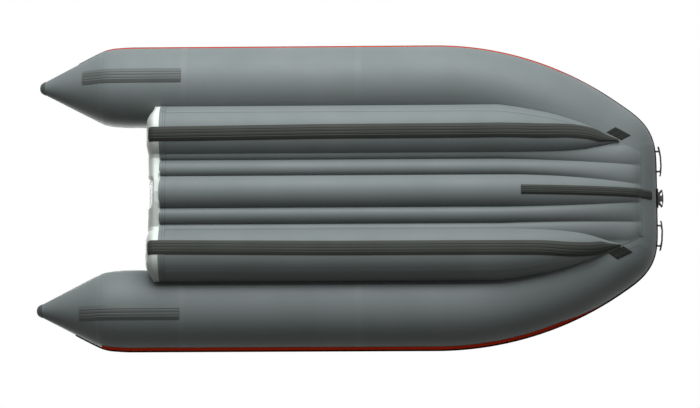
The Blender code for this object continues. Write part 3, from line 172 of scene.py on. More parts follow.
class Nodes:
    """A short way to write a node tree."""

    def __init__(self, tree: Tree) -> None:
        """Keep the tree that nodes are added to."""
        self.tree = tree

    def add(self, kind: str, settings: Optional[dict] = None, **inputs: object) -> Node:
        """Add a node.

        Args:
            kind: the node's type.
            settings: properties of the node.
            inputs: values or sockets by input name, with underscores for spaces.

        Returns:
            The node.
        """
        node = self.tree.nodes.new(kind)
        for key, value in (settings or {}).items():
            setattr(node, key, value)
        for key, value in inputs.items():
            self.feed(node.inputs[key.replace("_", " ")], value)
        return node

    def math(self, operation: str, *values: object) -> Socket:
        """Add a Math node and return its result."""
        node = self.add("ShaderNodeMath", {"operation": operation})
        for socket, value in zip(node.inputs, values):
            self.feed(socket, value)
        return node.outputs[0]

    def mix(self, factor: object, first: object, second: object) -> Socket:
        """Add a colour Mix node and return its result."""
        node = self.add("ShaderNodeMix", {"data_type": "RGBA"})
        self.feed(node.inputs["Factor"], factor)
        self.feed(node.inputs["A"], first)
        self.feed(node.inputs["B"], second)
        return node.outputs["Result"]

    def noise(self, vector: Socket, scale: object, **inputs: float) -> Socket:
        """Add a Noise texture and return its grey."""
        return self.add("ShaderNodeTexNoise", Vector=vector, Scale=scale, **inputs).outputs["Fac"]

    def ramp(self, value: Socket, low: float, high: float) -> Socket:
        """Spread a value between two levels over 0 to 1, held at both."""
        return self.add("ShaderNodeMapRange", {"clamp": True}, Value=value, From_Min=low,
                        From_Max=high).outputs["Result"]

    def feed(self, socket: Socket, value: object) -> None:
        """Give a socket a value, or link another socket to it."""
        if isinstance(value, Socket):
            self.tree.links.new(value, socket)
        elif isinstance(value, tuple) and len(value) == 3 and socket.type == "RGBA":
            socket.default_value = (*value, 1.0)
        else:
            socket.default_value = value


def shared_group(name: str, size: str, start: float, output: str) -> Callable[[Callable], Callable[[], Tree]]:
    """Turn a function that adds nodes into one that returns its shader node group, built on first use.

    Args:
        name: the group's name.
        size: the name of the input that comes with Vector.
        start: that input's starting value.
        output: the name of the one output.

    Returns:
        A decorator for a function that takes the nodes and the group's inputs and returns a socket.
    """
    def made_by(build: Callable[[Nodes, Socket, Socket], Socket]) -> Callable[[], Tree]:
        @wraps(build)
        def group() -> Tree:
            tree = bpy.data.node_groups.get(name)
            if tree:
                return tree
            tree = bpy.data.node_groups.new(name, "ShaderNodeTree")
            tree.interface.new_socket("Vector", in_out="INPUT", socket_type="NodeSocketVector")
            tree.interface.new_socket(size, in_out="INPUT", socket_type="NodeSocketFloat").default_value = start
            tree.interface.new_socket(output, in_out="OUTPUT", socket_type="NodeSocketFloat")
            nodes = Nodes(tree)
            entry = nodes.add("NodeGroupInput").outputs
            leave = nodes.add("NodeGroupOutput")
            nodes.feed(leave.inputs[output], build(nodes, entry["Vector"], entry[size]))
            return tree
        return group
    return made_by


@shared_group("cloth_weave", "Pitch", 0.001, "Height")
def weave_group(nodes: Nodes, vector: Socket, pitch: Socket) -> Socket:
    """Add the over-and-under relief of the cloth under a coating."""
    split = nodes.add("ShaderNodeSeparateXYZ", Vector=vector)
    turn = nodes.math("DIVIDE", math.tau, pitch)
    across = nodes.math("SINE", nodes.math("MULTIPLY", split.outputs["X"], turn))
    along = nodes.math("SINE", nodes.math("MULTIPLY", split.outputs["Y"], turn))
    return nodes.math("MULTIPLY_ADD", nodes.math("MULTIPLY", across, along), 0.5, 0.5)


@shared_group("surface_grain", "Size", 0.002, "Height")
def grain_group(nodes: Nodes, vector: Socket, size: Socket) -> Socket:
    """Add the fine pebbled relief of a moulded or coated surface."""
    scale = nodes.math("DIVIDE", 1.0, size)
    cells = nodes.add("ShaderNodeTexVoronoi", {"feature": "SMOOTH_F1"}, Vector=vector, Scale=scale)
    fine = nodes.noise(vector, nodes.math("MULTIPLY", scale, 2.0), Detail=2.0)
    return nodes.math("ADD", cells.outputs["Distance"], nodes.math("MULTIPLY", fine, GRAIN_FINE_SHARE))


@shared_group("soft_mottle", "Size", 0.2, "Mask")
def mottle_group(nodes: Nodes, vector: Socket, size: Socket) -> Socket:
    """Add a soft uneven mask, for colour that varies from place to place."""
    broad = nodes.noise(vector, nodes.math("DIVIDE", 1.0, size), Detail=3.0, Roughness=0.55)
    return nodes.ramp(broad, 0.32, 0.68)


@shared_group("light_scuffs", "Size", 0.01, "Mask")
def scuff_group(nodes: Nodes, vector: Socket, size: Socket) -> Socket:
    """Add a mask of short faint scuffs that run mostly along the boat."""
    pull = nodes.add("ShaderNodeMapping", {"vector_type": "POINT"}, Vector=vector, Scale=SCUFF_STRETCH)
    scale = nodes.math("DIVIDE", 1.0, size)
    streak = nodes.noise(pull.outputs["Vector"], scale, Detail=5.0, Roughness=0.7)
    patch = nodes.noise(vector, nodes.math("MULTIPLY", scale, SCUFF_PATCH_SCALE), Detail=1.0)
    return nodes.math("MULTIPLY", nodes.ramp(streak, 0.60, 0.78), patch)


@shared_group("dust_film", "Size", 0.05, "Mask")
def dust_group(nodes: Nodes, vector: Socket, size: Socket) -> Socket:
    """Add a thin uneven film that lies on faces turned up."""
    normal = nodes.add("ShaderNodeNewGeometry").outputs["Normal"]
    rising = nodes.ramp(nodes.add("ShaderNodeSeparateXYZ", Vector=normal).outputs["Z"], 0.2, 1.0)
    speck = nodes.noise(vector, nodes.math("DIVIDE", 1.0, size), Detail=4.0)
    return nodes.math("MULTIPLY", rising, speck)


@shared_group("non_slip_tread", "Pitch", 0.012, "Height")
def tread_group(nodes: Nodes, vector: Socket, pitch: Socket) -> Socket:
    """Add the raised lozenges of a non-slip surface."""
    split = nodes.add("ShaderNodeSeparateXYZ", Vector=vector)
    turn = nodes.math("DIVIDE", math.pi, pitch)
    ways = []
    for operation in ("ADD", "SUBTRACT"):
        place = nodes.math(operation, split.outputs["X"], nodes.math("MULTIPLY", split.outputs["Y"], TREAD_SLANT))
        ways.append(nodes.math("ABSOLUTE", nodes.math("SINE", nodes.math("MULTIPLY", place, turn))))
    return nodes.ramp(nodes.math("MINIMUM", *ways), 0.10, 0.35)


class Surface(Enum):
    """What a finish's patterns follow."""

    CLOTH = "UV"
    SOLID = "Object"


@dataclass(frozen=True)
class Finish:
    """A material, with colours as linear red, green and blue and sizes in metres."""

    name: str
    slot: str
    colour: Triple
    second: Triple
    roughness: float
    spread: float = 0.06
    surface: Surface = Surface.SOLID
    mottle_size: float = 0.25
    grain_size: float = 0.0016
    grain_depth: float = 0.00004
    weave_pitch: float = 0.0
    weave_depth: float = 0.0
    tread_pitch: float = 0.0
    tread_depth: float = 0.0
    scuffs: float = 0.12
    dust: float = 0.10
    dust_colour: Triple = (0.42, 0.41, 0.38)
    specular: float = 0.5
    metallic: float = 0.0
    coat: float = 0.0
    coat_roughness: float = 0.25
    scuff_size: float = 0.012
    dust_size: float = 0.06
    wear_gain: float = 1.7
    wear_lift: float = 0.02

    def material(self) -> bpy.types.Material:
        """Return the finish as a material, built on its first use."""
        found = bpy.data.materials.get(self.name)
        if found:
            return found
        made = bpy.data.materials.new(self.name)
        made.use_nodes = True
        nodes = Nodes(made.node_tree)
        shader = made.node_tree.nodes["Principled BSDF"]
        place = nodes.add("ShaderNodeTexCoord").outputs
        solid, pattern = place["Object"], place[self.surface.value]
        mottle = self.effect(nodes, mottle_group(), solid, Size=self.mottle_size)
        scuffs = self.effect(nodes, scuff_group(), solid, Size=self.scuff_size)
        dust = self.effect(nodes, dust_group(), solid, Size=self.dust_size)
        colour = nodes.mix(mottle, self.colour, self.second)
        worn = tuple(min(1.0, part * self.wear_gain + self.wear_lift) for part in self.colour)
        colour = nodes.mix(nodes.math("MULTIPLY", scuffs, self.scuffs), colour, worn)
        colour = nodes.mix(nodes.math("MULTIPLY", dust, self.dust), colour, self.dust_colour)
        nodes.feed(shader.inputs["Base Color"], colour)
        rough = nodes.math("MULTIPLY_ADD", mottle, self.spread, self.roughness - self.spread / 2)
        rough = nodes.math("MULTIPLY_ADD", scuffs, self.spread, rough)
        nodes.feed(shader.inputs["Roughness"], rough)
        for socket, value in (("Specular IOR Level", self.specular), ("Metallic", self.metallic),
                              ("Coat Weight", self.coat), ("Coat Roughness", self.coat_roughness)):
            shader.inputs[socket].default_value = value
        self.relief(nodes, shader, solid, pattern)
        return made

    @staticmethod
    def effect(nodes: Nodes, group: Tree, vector: Socket, **values: float) -> Socket:
        """Place a shared group in the material with its own values and return its output."""
        node = nodes.add("ShaderNodeGroup", {"node_tree": group})
        nodes.feed(node.inputs["Vector"], vector)
        for key, value in values.items():
            node.inputs[key].default_value = value
        return node.outputs[0]

    def relief(self, nodes: Nodes, shader: Node, solid: Socket, pattern: Socket) -> None:
        """Add the bumps of the grain, the weave and the tread."""
        height = nodes.math("MULTIPLY", self.effect(nodes, grain_group(), solid, Size=self.grain_size),
                            self.grain_depth)
        if self.weave_pitch:
            weave = self.effect(nodes, weave_group(), pattern, Pitch=self.weave_pitch)
            height = nodes.math("MULTIPLY_ADD", weave, self.weave_depth, height)
        if self.tread_pitch:
            tread = self.effect(nodes, tread_group(), pattern, Pitch=self.tread_pitch)
            height = nodes.math("MULTIPLY_ADD", tread, self.tread_depth, height)
        bump = nodes.add("ShaderNodeBump", Height=height, Strength=1.0, Distance=1.0)
        nodes.feed(shader.inputs["Normal"], bump.outputs["Normal"])


class Finishes:
    """The boat's finishes by the part that wears them."""

    hull = Finish("hull_fabric", "hull_pvc", (0.152, 0.170, 0.172), (0.141, 0.159, 0.160), 0.56,
                  surface=Surface.CLOTH, weave_pitch=0.0011, weave_depth=0.00003, grain_depth=0.00002,
                  scuffs=0.05, dust=0.03, specular=0.24)
    tape = replace(hull, name="seam_tape_fabric", colour=(0.157, 0.176, 0.178), second=(0.147, 0.165, 0.167),
                   roughness=0.54, weave_pitch=0.0009, weave_depth=0.00002, specular=0.26)
    band = replace(hull, name="stern_fabric_white", slot="band_pvc", colour=(0.62, 0.66, 0.63),
                   second=(0.56, 0.59, 0.55), roughness=0.50, scuffs=0.0, dust=0.08, specular=0.5)
    deck = Finish("deck_fabric_grey", "deck_pvc", (0.33, 0.35, 0.36), (0.28, 0.30, 0.31), 0.55,
                  surface=Surface.CLOTH, weave_pitch=0.0014, weave_depth=0.00004, tread_pitch=0.011,
                  tread_depth=0.00045, scuffs=0.0, dust=0.16)
    seam = Finish("seam_line_welded", "hull_pvc", (0.085, 0.095, 0.096), (0.078, 0.087, 0.088), 0.50,
                  grain_size=0.0010, grain_depth=0.00002, scuffs=0.03, dust=0.03, specular=0.25)
    strake = Finish("strake_rubber_ribbed", "strake_rubber", (0.052, 0.055, 0.049), (0.046, 0.048, 0.043), 0.60,
                    grain_size=0.0012, scuffs=0.06, dust=0.02, specular=0.06)
    patch = replace(strake, name="patch_rubber_ribbed", colour=(0.088, 0.096, 0.094),
                    second=(0.079, 0.086, 0.085), roughness=0.50, scuffs=0.10, dust=0.03, specular=0.25)
    pads = replace(strake, name="bow_patch_rubber", colour=(0.026, 0.0275, 0.0250), second=(0.022, 0.0230, 0.0215))
    rail = Finish("rail_rubber_black", "rail_rubber", (0.010, 0.0100, 0.0100), (0.007, 0.007, 0.007), 0.90,
                  grain_size=0.0010, grain_depth=0.00003, scuffs=0.10, dust=0.02, specular=0.0)
    stripe = Finish("stripe_fabric_red", "stripe_red", (0.92, 0.060, 0.020), (0.86, 0.052, 0.018), 0.60,
                    grain_size=0.0010, grain_depth=0.00002, scuffs=0.04, dust=0.0, specular=0.0)
    fitting = Finish("fitting_nylon_black", "fitting_plastic", (0.012, 0.013, 0.013), (0.008, 0.009, 0.009),
                     0.42, grain_size=0.0009, grain_depth=0.00003, scuffs=0.2, dust=0.05)
    cap = replace(fitting, name="cone_cap_moulded_grey", colour=(0.060, 0.068, 0.067),
                  second=(0.052, 0.059, 0.058), roughness=0.48, scuffs=0.12, dust=0.03, specular=0.30)
    valve = replace(fitting, name="valve_nylon_grey", slot="valve_plastic", colour=(0.15, 0.16, 0.165),
                    second=(0.13, 0.14, 0.145), roughness=0.38, grain_depth=0.00002, scuffs=0.1)
    plate = Finish("motor_pad_plastic", "plate_plastic", (0.022, 0.023, 0.024), (0.016, 0.017, 0.018), 0.5,
                   grain_size=0.0015, grain_depth=0.00008, scuffs=0.3, dust=0.08)
    board = Finish("transom_paint_grey", "transom_ply", (0.085, 0.092, 0.096), (0.072, 0.078, 0.081), 0.36,
                   grain_size=0.0030, grain_depth=0.00005, dust=0.08, coat=0.15)
    bench = replace(board, name="bench_paint_grey", slot="bench_ply", colour=(0.20, 0.215, 0.215),
                    second=(0.17, 0.18, 0.18), roughness=0.38, scuffs=0.2, dust=0.14, coat=0.10)
    steel = Finish("screw_steel", "fitting_plastic", (0.55, 0.56, 0.57), (0.45, 0.46, 0.47), 0.28,
                   grain_size=0.0006, grain_depth=0.00001, scuffs=0.2, dust=0.02, metallic=1.0)
    pad = Finish("non_slip_pad", "fitting_plastic", (0.030, 0.031, 0.032), (0.024, 0.025, 0.026), 0.7,
                 surface=Surface.CLOTH, tread_pitch=0.006, tread_depth=0.0006, scuffs=0.0, dust=0.12)


# Modelling


def deselect() -> None:
    """Leave edit mode and deselect every object."""
    if bpy.context.object and bpy.context.object.mode != "OBJECT":
        bpy.ops.object.mode_set(mode="OBJECT")
    bpy.ops.object.select_all(action="DESELECT")


def pick(piece: Piece) -> Piece:
    """Select one object and make it active."""
    deselect()
    piece.select_set(True)
    bpy.context.view_layer.objects.active = piece
    return piece


def in_edit_mode(piece: Piece, *steps: Callable[[], object]) -> None:
    """Run edit-mode operators on all of a piece's mesh."""
    pick(piece)
    bpy.ops.object.mode_set(mode="EDIT")
    bpy.ops.mesh.select_all(action="SELECT")
    for step in steps:
        step()
    bpy.ops.object.mode_set(mode="OBJECT")


def merge_doubles() -> None:
    """Merge points that meet."""
    bpy.ops.mesh.remove_doubles(threshold=MERGE)


def face_outwards() -> None:
    """Turn the faces of a closed form outwards."""
    bpy.ops.mesh.normals_make_consistent(inside=False)


def close_ends() -> None:
    """Fill the open ends of a bar."""
    bpy.ops.mesh.fill_holes(sides=0)


def apply_modifier(piece: Piece, kind: str, **settings: object) -> None:
    """Add a modifier with its settings and apply it."""
    pick(piece)
    modifier = piece.modifiers.new(kind.lower(), kind)
    for key, value in settings.items():
        setattr(modifier, key, value)
    bpy.ops.object.modifier_apply(modifier=modifier.name)


def round_edges(piece: Piece, width: float, segments: int, angle: float) -> None:
    """Round a piece's edges that are sharper than an angle in degrees."""
    apply_modifier(piece, "BEVEL", width=width, segments=segments, limit_method="ANGLE",
                   angle_limit=math.radians(angle), use_clamp_overlap=True)


def smooth(piece: Piece, angle: float = SMOOTH_ANGLE) -> None:
    """Shade a piece smooth, with sharp edges past an angle in degrees."""
    pick(piece)
    bpy.ops.object.shade_smooth_by_angle(angle=math.radians(angle))


def dress(piece: Piece, name: str, finish: Finish, nodes: Sequence[str] = (), body: str = HULL) -> None:
    """Name a finished piece, give it its finish and let it ride on its body.

    Args:
        piece: the piece, with its place in its mesh.
        name: the piece's name.
        finish: what it is made of.
        nodes: the CAD nodes that it stands for.
        body: the CAD body that it moves with.
    """
    piece.name = name
    piece.data.name = name
    piece.data.materials.clear()
    piece.data.materials.append(finish.material())
    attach(piece, body)
    if nodes:
        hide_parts(*nodes)
    LOG.info("%s: %d faces on %s", name, len(piece.data.polygons), body)


def grid_piece(rows: Rows) -> Piece:
    """Add a grid primitive and shape it to rows of points, with UVs in metres.

    Args:
        rows: rows along the piece, each with its points across it.

    Returns:
        The piece, its faces turned the way of rows crossed with columns.
    """
    deselect()
    count, width = len(rows), len(rows[0])
    bpy.ops.mesh.primitive_grid_add(x_subdivisions=width - 1, y_subdivisions=count - 1, size=1.0)
    piece = bpy.context.object
    points = np.array([[tuple(point) for point in reversed(row)] for row in rows])
    piece.data.vertices.foreach_set("co", points.ravel())
    gaps = np.linalg.norm(np.diff(points, axis=1), axis=2)
    across = np.concatenate([np.zeros((count, 1)), np.cumsum(gaps, axis=1)], axis=1)
    across -= across[:, -1:] / 2
    gaps = np.linalg.norm(np.diff(points, axis=0), axis=2).mean(axis=1)
    along = np.repeat(np.concatenate([[0.0], np.cumsum(gaps)])[:, None], width, axis=1)
    spread = np.stack([across, along], axis=2).reshape(-1, 2)
    loops = np.zeros(len(piece.data.loops), dtype=int)
    piece.data.loops.foreach_get("vertex_index", loops)
    piece.data.uv_layers.active.data.foreach_set("uv", spread[loops].ravel())
    piece.data.update()
    return piece


def sheet(rows: Rows, thickness: float, wrap: bool = False, inward: bool = True) -> Piece:
    """Make a fabric skin from rows of points.

    Args:
        rows: rows of points on the skin's outer side.
        thickness: the fabric's thickness.
        wrap: whether each row closes on itself.
        inward: whether the fabric thickens against its faces' way.

    Returns:
        The skin.
    """
    if wrap:
        rows = [row + row[:1] for row in rows]
    piece = grid_piece(rows)
    in_edit_mode(piece, merge_doubles)
    apply_modifier(piece, "SOLIDIFY", thickness=thickness, offset=-1.0 if inward else 1.0)
    smooth(piece)
    return piece


def bar(sections: Rows, bevel: float = 0.0) -> Piece:
    """Make a solid bar from closed sections, with its ends filled.

    Args:
        sections: the closed sections along the bar.
        bevel: how far its sharp edges are rounded.

    Returns:
        The bar.
    """
    piece = grid_piece([row + row[:1] for row in sections])
    in_edit_mode(piece, merge_doubles, close_ends, face_outwards)
    if bevel:
        round_edges(piece, bevel, 2, BAR_BEVEL_ANGLE)
    smooth(piece)
    return piece


def refined(node: str, bevel: float, segments: int = 2, angle: float = EDGE_ANGLE) -> Piece:
    """Copy a hard CAD node, merge its loose triangles and round its edges.

    Args:
        node: the CAD node's name.
        bevel: how far its edges are rounded.
        segments: how many facets each rounding has.
        angle: the least angle in degrees of an edge that is rounded.

    Returns:
        The copy.
    """
    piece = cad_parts[node].copy()
    piece.data = piece.data.copy()
    for key in list(piece.keys()):
        del piece[key]
    piece.parent = None
    bpy.context.scene.collection.objects.link(piece)
    in_edit_mode(piece, merge_doubles,
                 lambda: bpy.ops.mesh.dissolve_limited(angle_limit=math.radians(FLAT_ANGLE)))
    round_edges(piece, bevel, segments, angle)
    smooth(piece)
    return piece


def moulded(node: str, finish: Finish, bevel: float, segments: int = 2, body: str = HULL,
            word: str = "moulded", angle: float = EDGE_ANGLE) -> None:
    """Refine a hard CAD node and dress the copy in its place.

    Args:
        node: the CAD node's name.
        finish: what it is made of.
        bevel: how far its edges are rounded.
        segments: how many facets each rounding has.
        body: the CAD body that it moves with.
        word: what the piece's name adds to the node's.
        angle: the least angle in degrees of an edge that is rounded.
    """
    dress(refined(node, bevel, segments, angle), f"{node}_{word}", finish, [node], body)


# Shape of the hull


@dataclass(frozen=True)
class Station:
    """One section of a tube: its centre, the way outboard and its half sizes."""

    centre: Vector
    out: Vector
    half_width: float
    half_height: float

    def point(self, angle: float, lift: float = 0.0) -> Vector:
        """Return a point on the section: angle 0 is straight down and a quarter turn is outboard."""
        across = self.out * (self.half_width + lift) * math.sin(angle)
        return self.centre + across - UP * (self.half_height + lift) * math.cos(angle)

    def ring(self, sides: int, lift: float = 0.0) -> list[Vector]:
        """Return the section's points, ordered so that faces point out."""
        return [self.point(-math.tau * side / sides, lift) for side in range(sides)]

    def mirrored(self) -> "Station":
        """Return the same section on the starboard side."""
        flip = Vector((1.0, -1.0, 1.0))
        return Station(self.centre * flip, self.out * flip, self.half_width, self.half_height)


@dataclass(frozen=True)
class HullShape:
    """The inflated tubes in the hull's own axes: x from the cone tips, z from the tubes' axes."""

    length: float = 3.30
    reach: float = 0.039
    radius: float = 0.215
    offset: float = 0.600
    cone_length: float = 0.50
    cone_shares: Table = ((0.03, 0.126), (0.42, 0.595), (0.606, 0.819), (0.71, 0.930), (0.786, 0.970),
                          (0.92, 0.994), (1.0, 1.0))
    chamber_end: float = 1.713
    curve_run: float = 1.18
    curve_radius: float = 1.521
    bow_rise: float = 0.100
    crease: float = 0.030
    bulge_share: float = 0.049
    gap: float = 0.0003
    fabric: float = 0.0009
    cone_ease: float = 0.03
    bow_steps: tuple[int, int] = (34, 40)
    strip_steps: tuple[int, int] = (20, 16)

    @property
    def curve_start(self) -> float:
        """Return where the tubes begin to turn in."""
        return self.length - self.curve_run

    @property
    def curve_y(self) -> float:
        """Return how far across the centre of the bow's curve lies."""
        return self.offset - self.curve_radius

    @property
    def front_axis(self) -> float:
        """Return where the tube's axis crosses the middle of the bow."""
        return self.length - self.radius

    def place(self, point: Point) -> Vector:
        """Move a point from the hull's axes to the boat's frame, as the side tube's node gives it."""
        low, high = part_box("port_side_tube")
        along = high[0] - (self.chamber_end - self.gap)
        return Vector((point[0] + along, point[1], point[2] + low[2] + self.radius))

    def places(self, rows: Sequence[Sequence[Point]]) -> Rows:
        """Move rows of points to the boat's frame."""
        shift = self.place((0.0, 0.0, 0.0))
        return [[Vector(point) + shift for point in row] for row in rows]

    def skin(self, rows: Rows, thickness: float, side: Side = Side.PORT, **ways: bool) -> Piece:
        """Return a fabric skin from rows in the hull's axes, as sheet makes it."""
        return sheet(self.places(side.of(rows)), thickness, **ways)

    def solid(self, rows: Rows, side: Side = Side.PORT, bevel: float = 0.0) -> Piece:
        """Return a solid bar from sections in the hull's axes."""
        return bar(self.places(side.of(rows)), bevel)

    def rise(self, along: float) -> float:
        """Return how far the tube's axis has risen."""
        share = max(0.0, along - self.curve_start) / (self.front_axis - self.curve_start)
        return self.bow_rise * share * share

    def straight(self, along: float) -> Station:
        """Return the port tube's section on its straight part, cone included."""
        share = 1.0
        if along < self.cone_length:
            share = eased_value(self.cone_shares, along / self.cone_length, self.cone_ease)
        return self.round_section(along, self.radius * share)

    def round_section(self, along: float, size: float) -> Station:
        """Return a round section of a given radius on the port tube's straight axis."""
        return Station(Vector((along, self.offset, self.rise(along))), Vector((0.0, 1.0, 0.0)), size, size)

    def corner(self) -> Triple:
        """Return the pivot of the bow corner in plan and the heading at which the corner starts."""
        inner = self.curve_radius - self.radius - self.crease
        pivot = self.front_axis - self.radius - self.crease
        heading = math.asin(min(1.0, (pivot - self.curve_start) / inner))
        return pivot, self.curve_y + inner * math.cos(heading), heading

    def corner_half(self, heading: float) -> float:
        """Return half the tube's width in plan on the way round the bow corner."""
        start = self.corner()[2]
        share = (heading - start) / (math.pi / 2 - start)
        return self.radius * (1 + self.bulge_share * math.sin(math.pi * share) ** 2)

    def heading_station(self, heading: float) -> Station:
        """Return the port tube's section at a heading on the way round the bow."""
        pivot_x, pivot_y, corner = self.corner()
        out = Vector((math.sin(heading), math.cos(heading), 0.0))
        if heading <= corner:
            half = self.radius
            centre = Vector((self.curve_start, self.curve_y, 0.0)) + out * self.curve_radius
        else:
            half = self.corner_half(heading)
            centre = Vector((pivot_x, pivot_y, 0.0)) + out * (self.crease + half)
        centre.z = self.rise(centre.x)
        return Station(centre, out, half, self.radius)

    def bow_path(self) -> list[Station]:
        """Return the port sections from the start of the bow's curve to the middle of the bow."""
        corner = self.corner()[2]
        headings = joined_steps((0.0, corner, math.pi / 2), self.bow_steps)[1:]
        return [self.straight(self.curve_start)] + [self.heading_station(turn) for turn in headings]

    def whole_path(self, start: float) -> list[Station]:
        """Return sections from a place on the port tube round the bow to starboard."""
        places = joined_steps((start, self.cone_length, self.curve_start), self.strip_steps)[:-1]
        return mirrored_path([self.straight(x) for x in places] + self.bow_path())

    def underside(self, along: float, across: float) -> Optional[float]:
        """Return the height of the tube's underside over a place in plan, or None beside the tube."""
        across = abs(across)
        pivot_x, pivot_y, corner = self.corner()
        turn = math.atan2(along - self.curve_start, across - self.curve_y)
        if along <= self.curve_start:
            offset, half, axis = across - self.offset, self.radius, along
        elif turn <= corner:
            offset = math.hypot(along - self.curve_start, across - self.curve_y) - self.curve_radius
            half, axis = self.radius, self.curve_start + self.curve_radius * math.sin(turn)
        elif across > pivot_y:
            heading = math.atan2(along - pivot_x, across - pivot_y)
            half = self.corner_half(heading)
            offset = math.hypot(along - pivot_x, across - pivot_y) - self.crease - half
            axis = pivot_x + (self.crease + half) * math.sin(heading)
        else:
            offset, half, axis = along - self.front_axis, self.radius, self.front_axis
        if abs(offset) >= half:
            return None
        return self.rise(axis) - self.radius * math.sqrt(1 - (offset / half) ** 2)


def mirrored_path(port: list[Station]) -> list[Station]:
    """Return port sections that end in the middle of the bow, followed by their mirror images."""
    return port + [station.mirrored() for station in reversed(port[:-1])]


@dataclass(frozen=True)
class FloorShape:
    """The ribbed floor and its two sponsons, in the hull's own axes."""

    hull: HullShape = HullShape()
    band_aft: float = 0.618
    band_length: float = 0.058
    band_inset: float = 0.030
    taper_run: float = 0.850
    nose_inset: float = 0.092
    nose_run: float = 0.121
    edge_angle: float = math.radians(38.2)
    edge_gap: float = 0.0012
    valley_below: float = 0.021
    valley_slope: float = 0.13
    nose_rise: float = 0.136
    centre_half: float = 0.085
    rib_width: float = 0.085
    centre_sag: float = 0.047
    rib_sag: float = 0.024
    nose_shares: Pair = (0.54, 0.89)
    nose_sag_share: float = 0.38
    wing: float = 0.004
    deck_above: float = 0.095
    deck_rise: float = 0.070
    deck_rise_run: float = 1.10
    deck_nose_inset: float = 0.385
    deck_sag: float = 0.010
    sponson_sag: float = 0.337
    steps: int = 14
    sponson_steps: int = 40
    straight_steps: int = 14
    edge_halvings: int = 24
    plan_ease: float = 0.03
    sag_fade: float = 0.03
    plan: Table = ((0.0, 0.434, 1.0), (0.177, 0.436, 0.966), (0.403, 0.444, 0.909), (0.530, 0.454, 0.865),
                   (0.651, 0.471, 0.813), (0.713, 0.485, 0.783), (0.775, 0.503, 0.750),
                   (0.830, 0.523, 0.711), (0.884, 0.545, 0.669), (0.946, 0.566, 0.630),
                   (1.0, 0.582, 0.602), (1.0855, 0.582, 0.555), (1.1615, 0.582, 0.500), (1.190, 0.582, 0.470))
    band_bulge: float = 0.035
    bulge_shares: Table = ((0.0, 0.23), (0.12, 0.25), (0.18, 0.68), (0.40, 0.74), (0.44, 0.70), (0.54, 1.0),
                           (0.80, 1.0), (0.84, 0.88), (0.895, 0.60), (0.95, 0.12), (1.0, 0.05))
    corner_recess: Table = ((0.88, 0.0), (0.95, 0.005), (1.0, 0.020))
    band_folds: Table = ((0.0, -0.278), (0.056, -0.2715), (0.182, -0.238))
    band_columns: tuple[float, ...] = (0.0, 0.014, 0.028, 0.042, 0.056, 0.070, 0.085, 0.100, 0.115, 0.1275, 0.140,
                                       0.155, 0.170, 0.182, 0.190)

    @property
    def fore_of_band(self) -> float:
        """Return where the stern band ends."""
        return self.band_aft + self.band_length

    @property
    def start(self) -> float:
        """Return where the floor's own skins begin."""
        return self.fore_of_band + self.hull.gap

    @property
    def taper_start(self) -> float:
        """Return where the floor begins to narrow."""
        return self.hull.length - self.taper_run

    @property
    def nose_end(self) -> float:
        """Return where the floor ends on the bow tube."""
        return self.hull.length - self.nose_inset

    @property
    def taper_end(self) -> float:
        """Return where the sponsons end."""
        return self.nose_end - self.nose_run

    @property
    def widest(self) -> float:
        """Return half the floor's full width."""
        return self.hull.offset - self.hull.radius * math.sin(self.edge_angle)

    @property
    def deck_level(self) -> float:
        """Return the level of the deck's valleys aft."""
        return self.deck_above - self.hull.radius

    def along_places(self, end: float, pace: float) -> list[float]:
        """Return places along the floor from its start, close together where it narrows."""
        count = round((end - self.taper_start) / pace)
        straight = steps_between(self.start, self.taper_start, self.straight_steps)
        return straight[:-1] + steps_between(self.taper_start, end, count)

    def edges(self, along: float) -> Pair:
        """Return the sponson's inner edge and the floor's outer edge."""
        share = (along - self.taper_start) / (self.taper_end - self.taper_start)
        return tuple(self.widest * eased_value(self.plan, share, self.plan_ease, column) for column in (1, 2))

    def nose_share(self, along: float) -> float:
        """Return how far along its taper the floor is."""
        return max(0.0, along - self.taper_start) / (self.nose_end - self.taper_start)

    def rib_lines(self, along: float) -> Triple:
        """Return where the valleys between the ribs run, from the middle outwards."""
        share = self.nose_share(along)
        outer = min(self.centre_half + 2 * self.rib_width, self.edges(along)[1] - self.wing)
        return (self.centre_half * blend(1.0, self.nose_shares[0], share * share),
                (self.centre_half + self.rib_width) * blend(1.0, self.nose_shares[1], share), outer)

    @staticmethod
    def arc_drop(width: float, sag: float, place: float) -> float:
        """Return how far an arc over a width stands off its chord, with place from 0 to 1."""
        if sag <= 0.0:
            return 0.0
        radius = (width * width / 4 + sag * sag) / (2 * sag)
        return math.sqrt(max(0.0, radius * radius - (width * (place - 0.5)) ** 2)) - (radius - sag)

    def arcs(self, lines: Sequence[float], level: Callable[[float], float], sags: Pair, way: float) -> Profile:
        """Return half a section that arcs from valley to valley.

        Args:
            lines: the places of the valleys from the middle outwards, starting with the middle itself.
            level: gives a valley's height at its place.
            sags: how far the middle arc and the others stand off their chords.
            way: 1 for arcs that rise and -1 for arcs that hang.

        Returns:
            The section's points as (across, height).
        """
        points = []
        for rib, (inner, outer) in enumerate(zip(lines, lines[1:])):
            for place in steps_between(0.0, 1.0, self.steps)[:-1]:
                if rib:
                    chord = blend(level(inner), level(outer), place)
                    depth = self.arc_drop(outer - inner, sags[1], place)
                else:
                    chord = level(outer)
                    depth = self.arc_drop(2 * outer, sags[0], (1 + place) / 2)
                points.append((blend(inner, outer, place), chord + way * depth))
        return points + [(lines[-1], level(lines[-1]))]

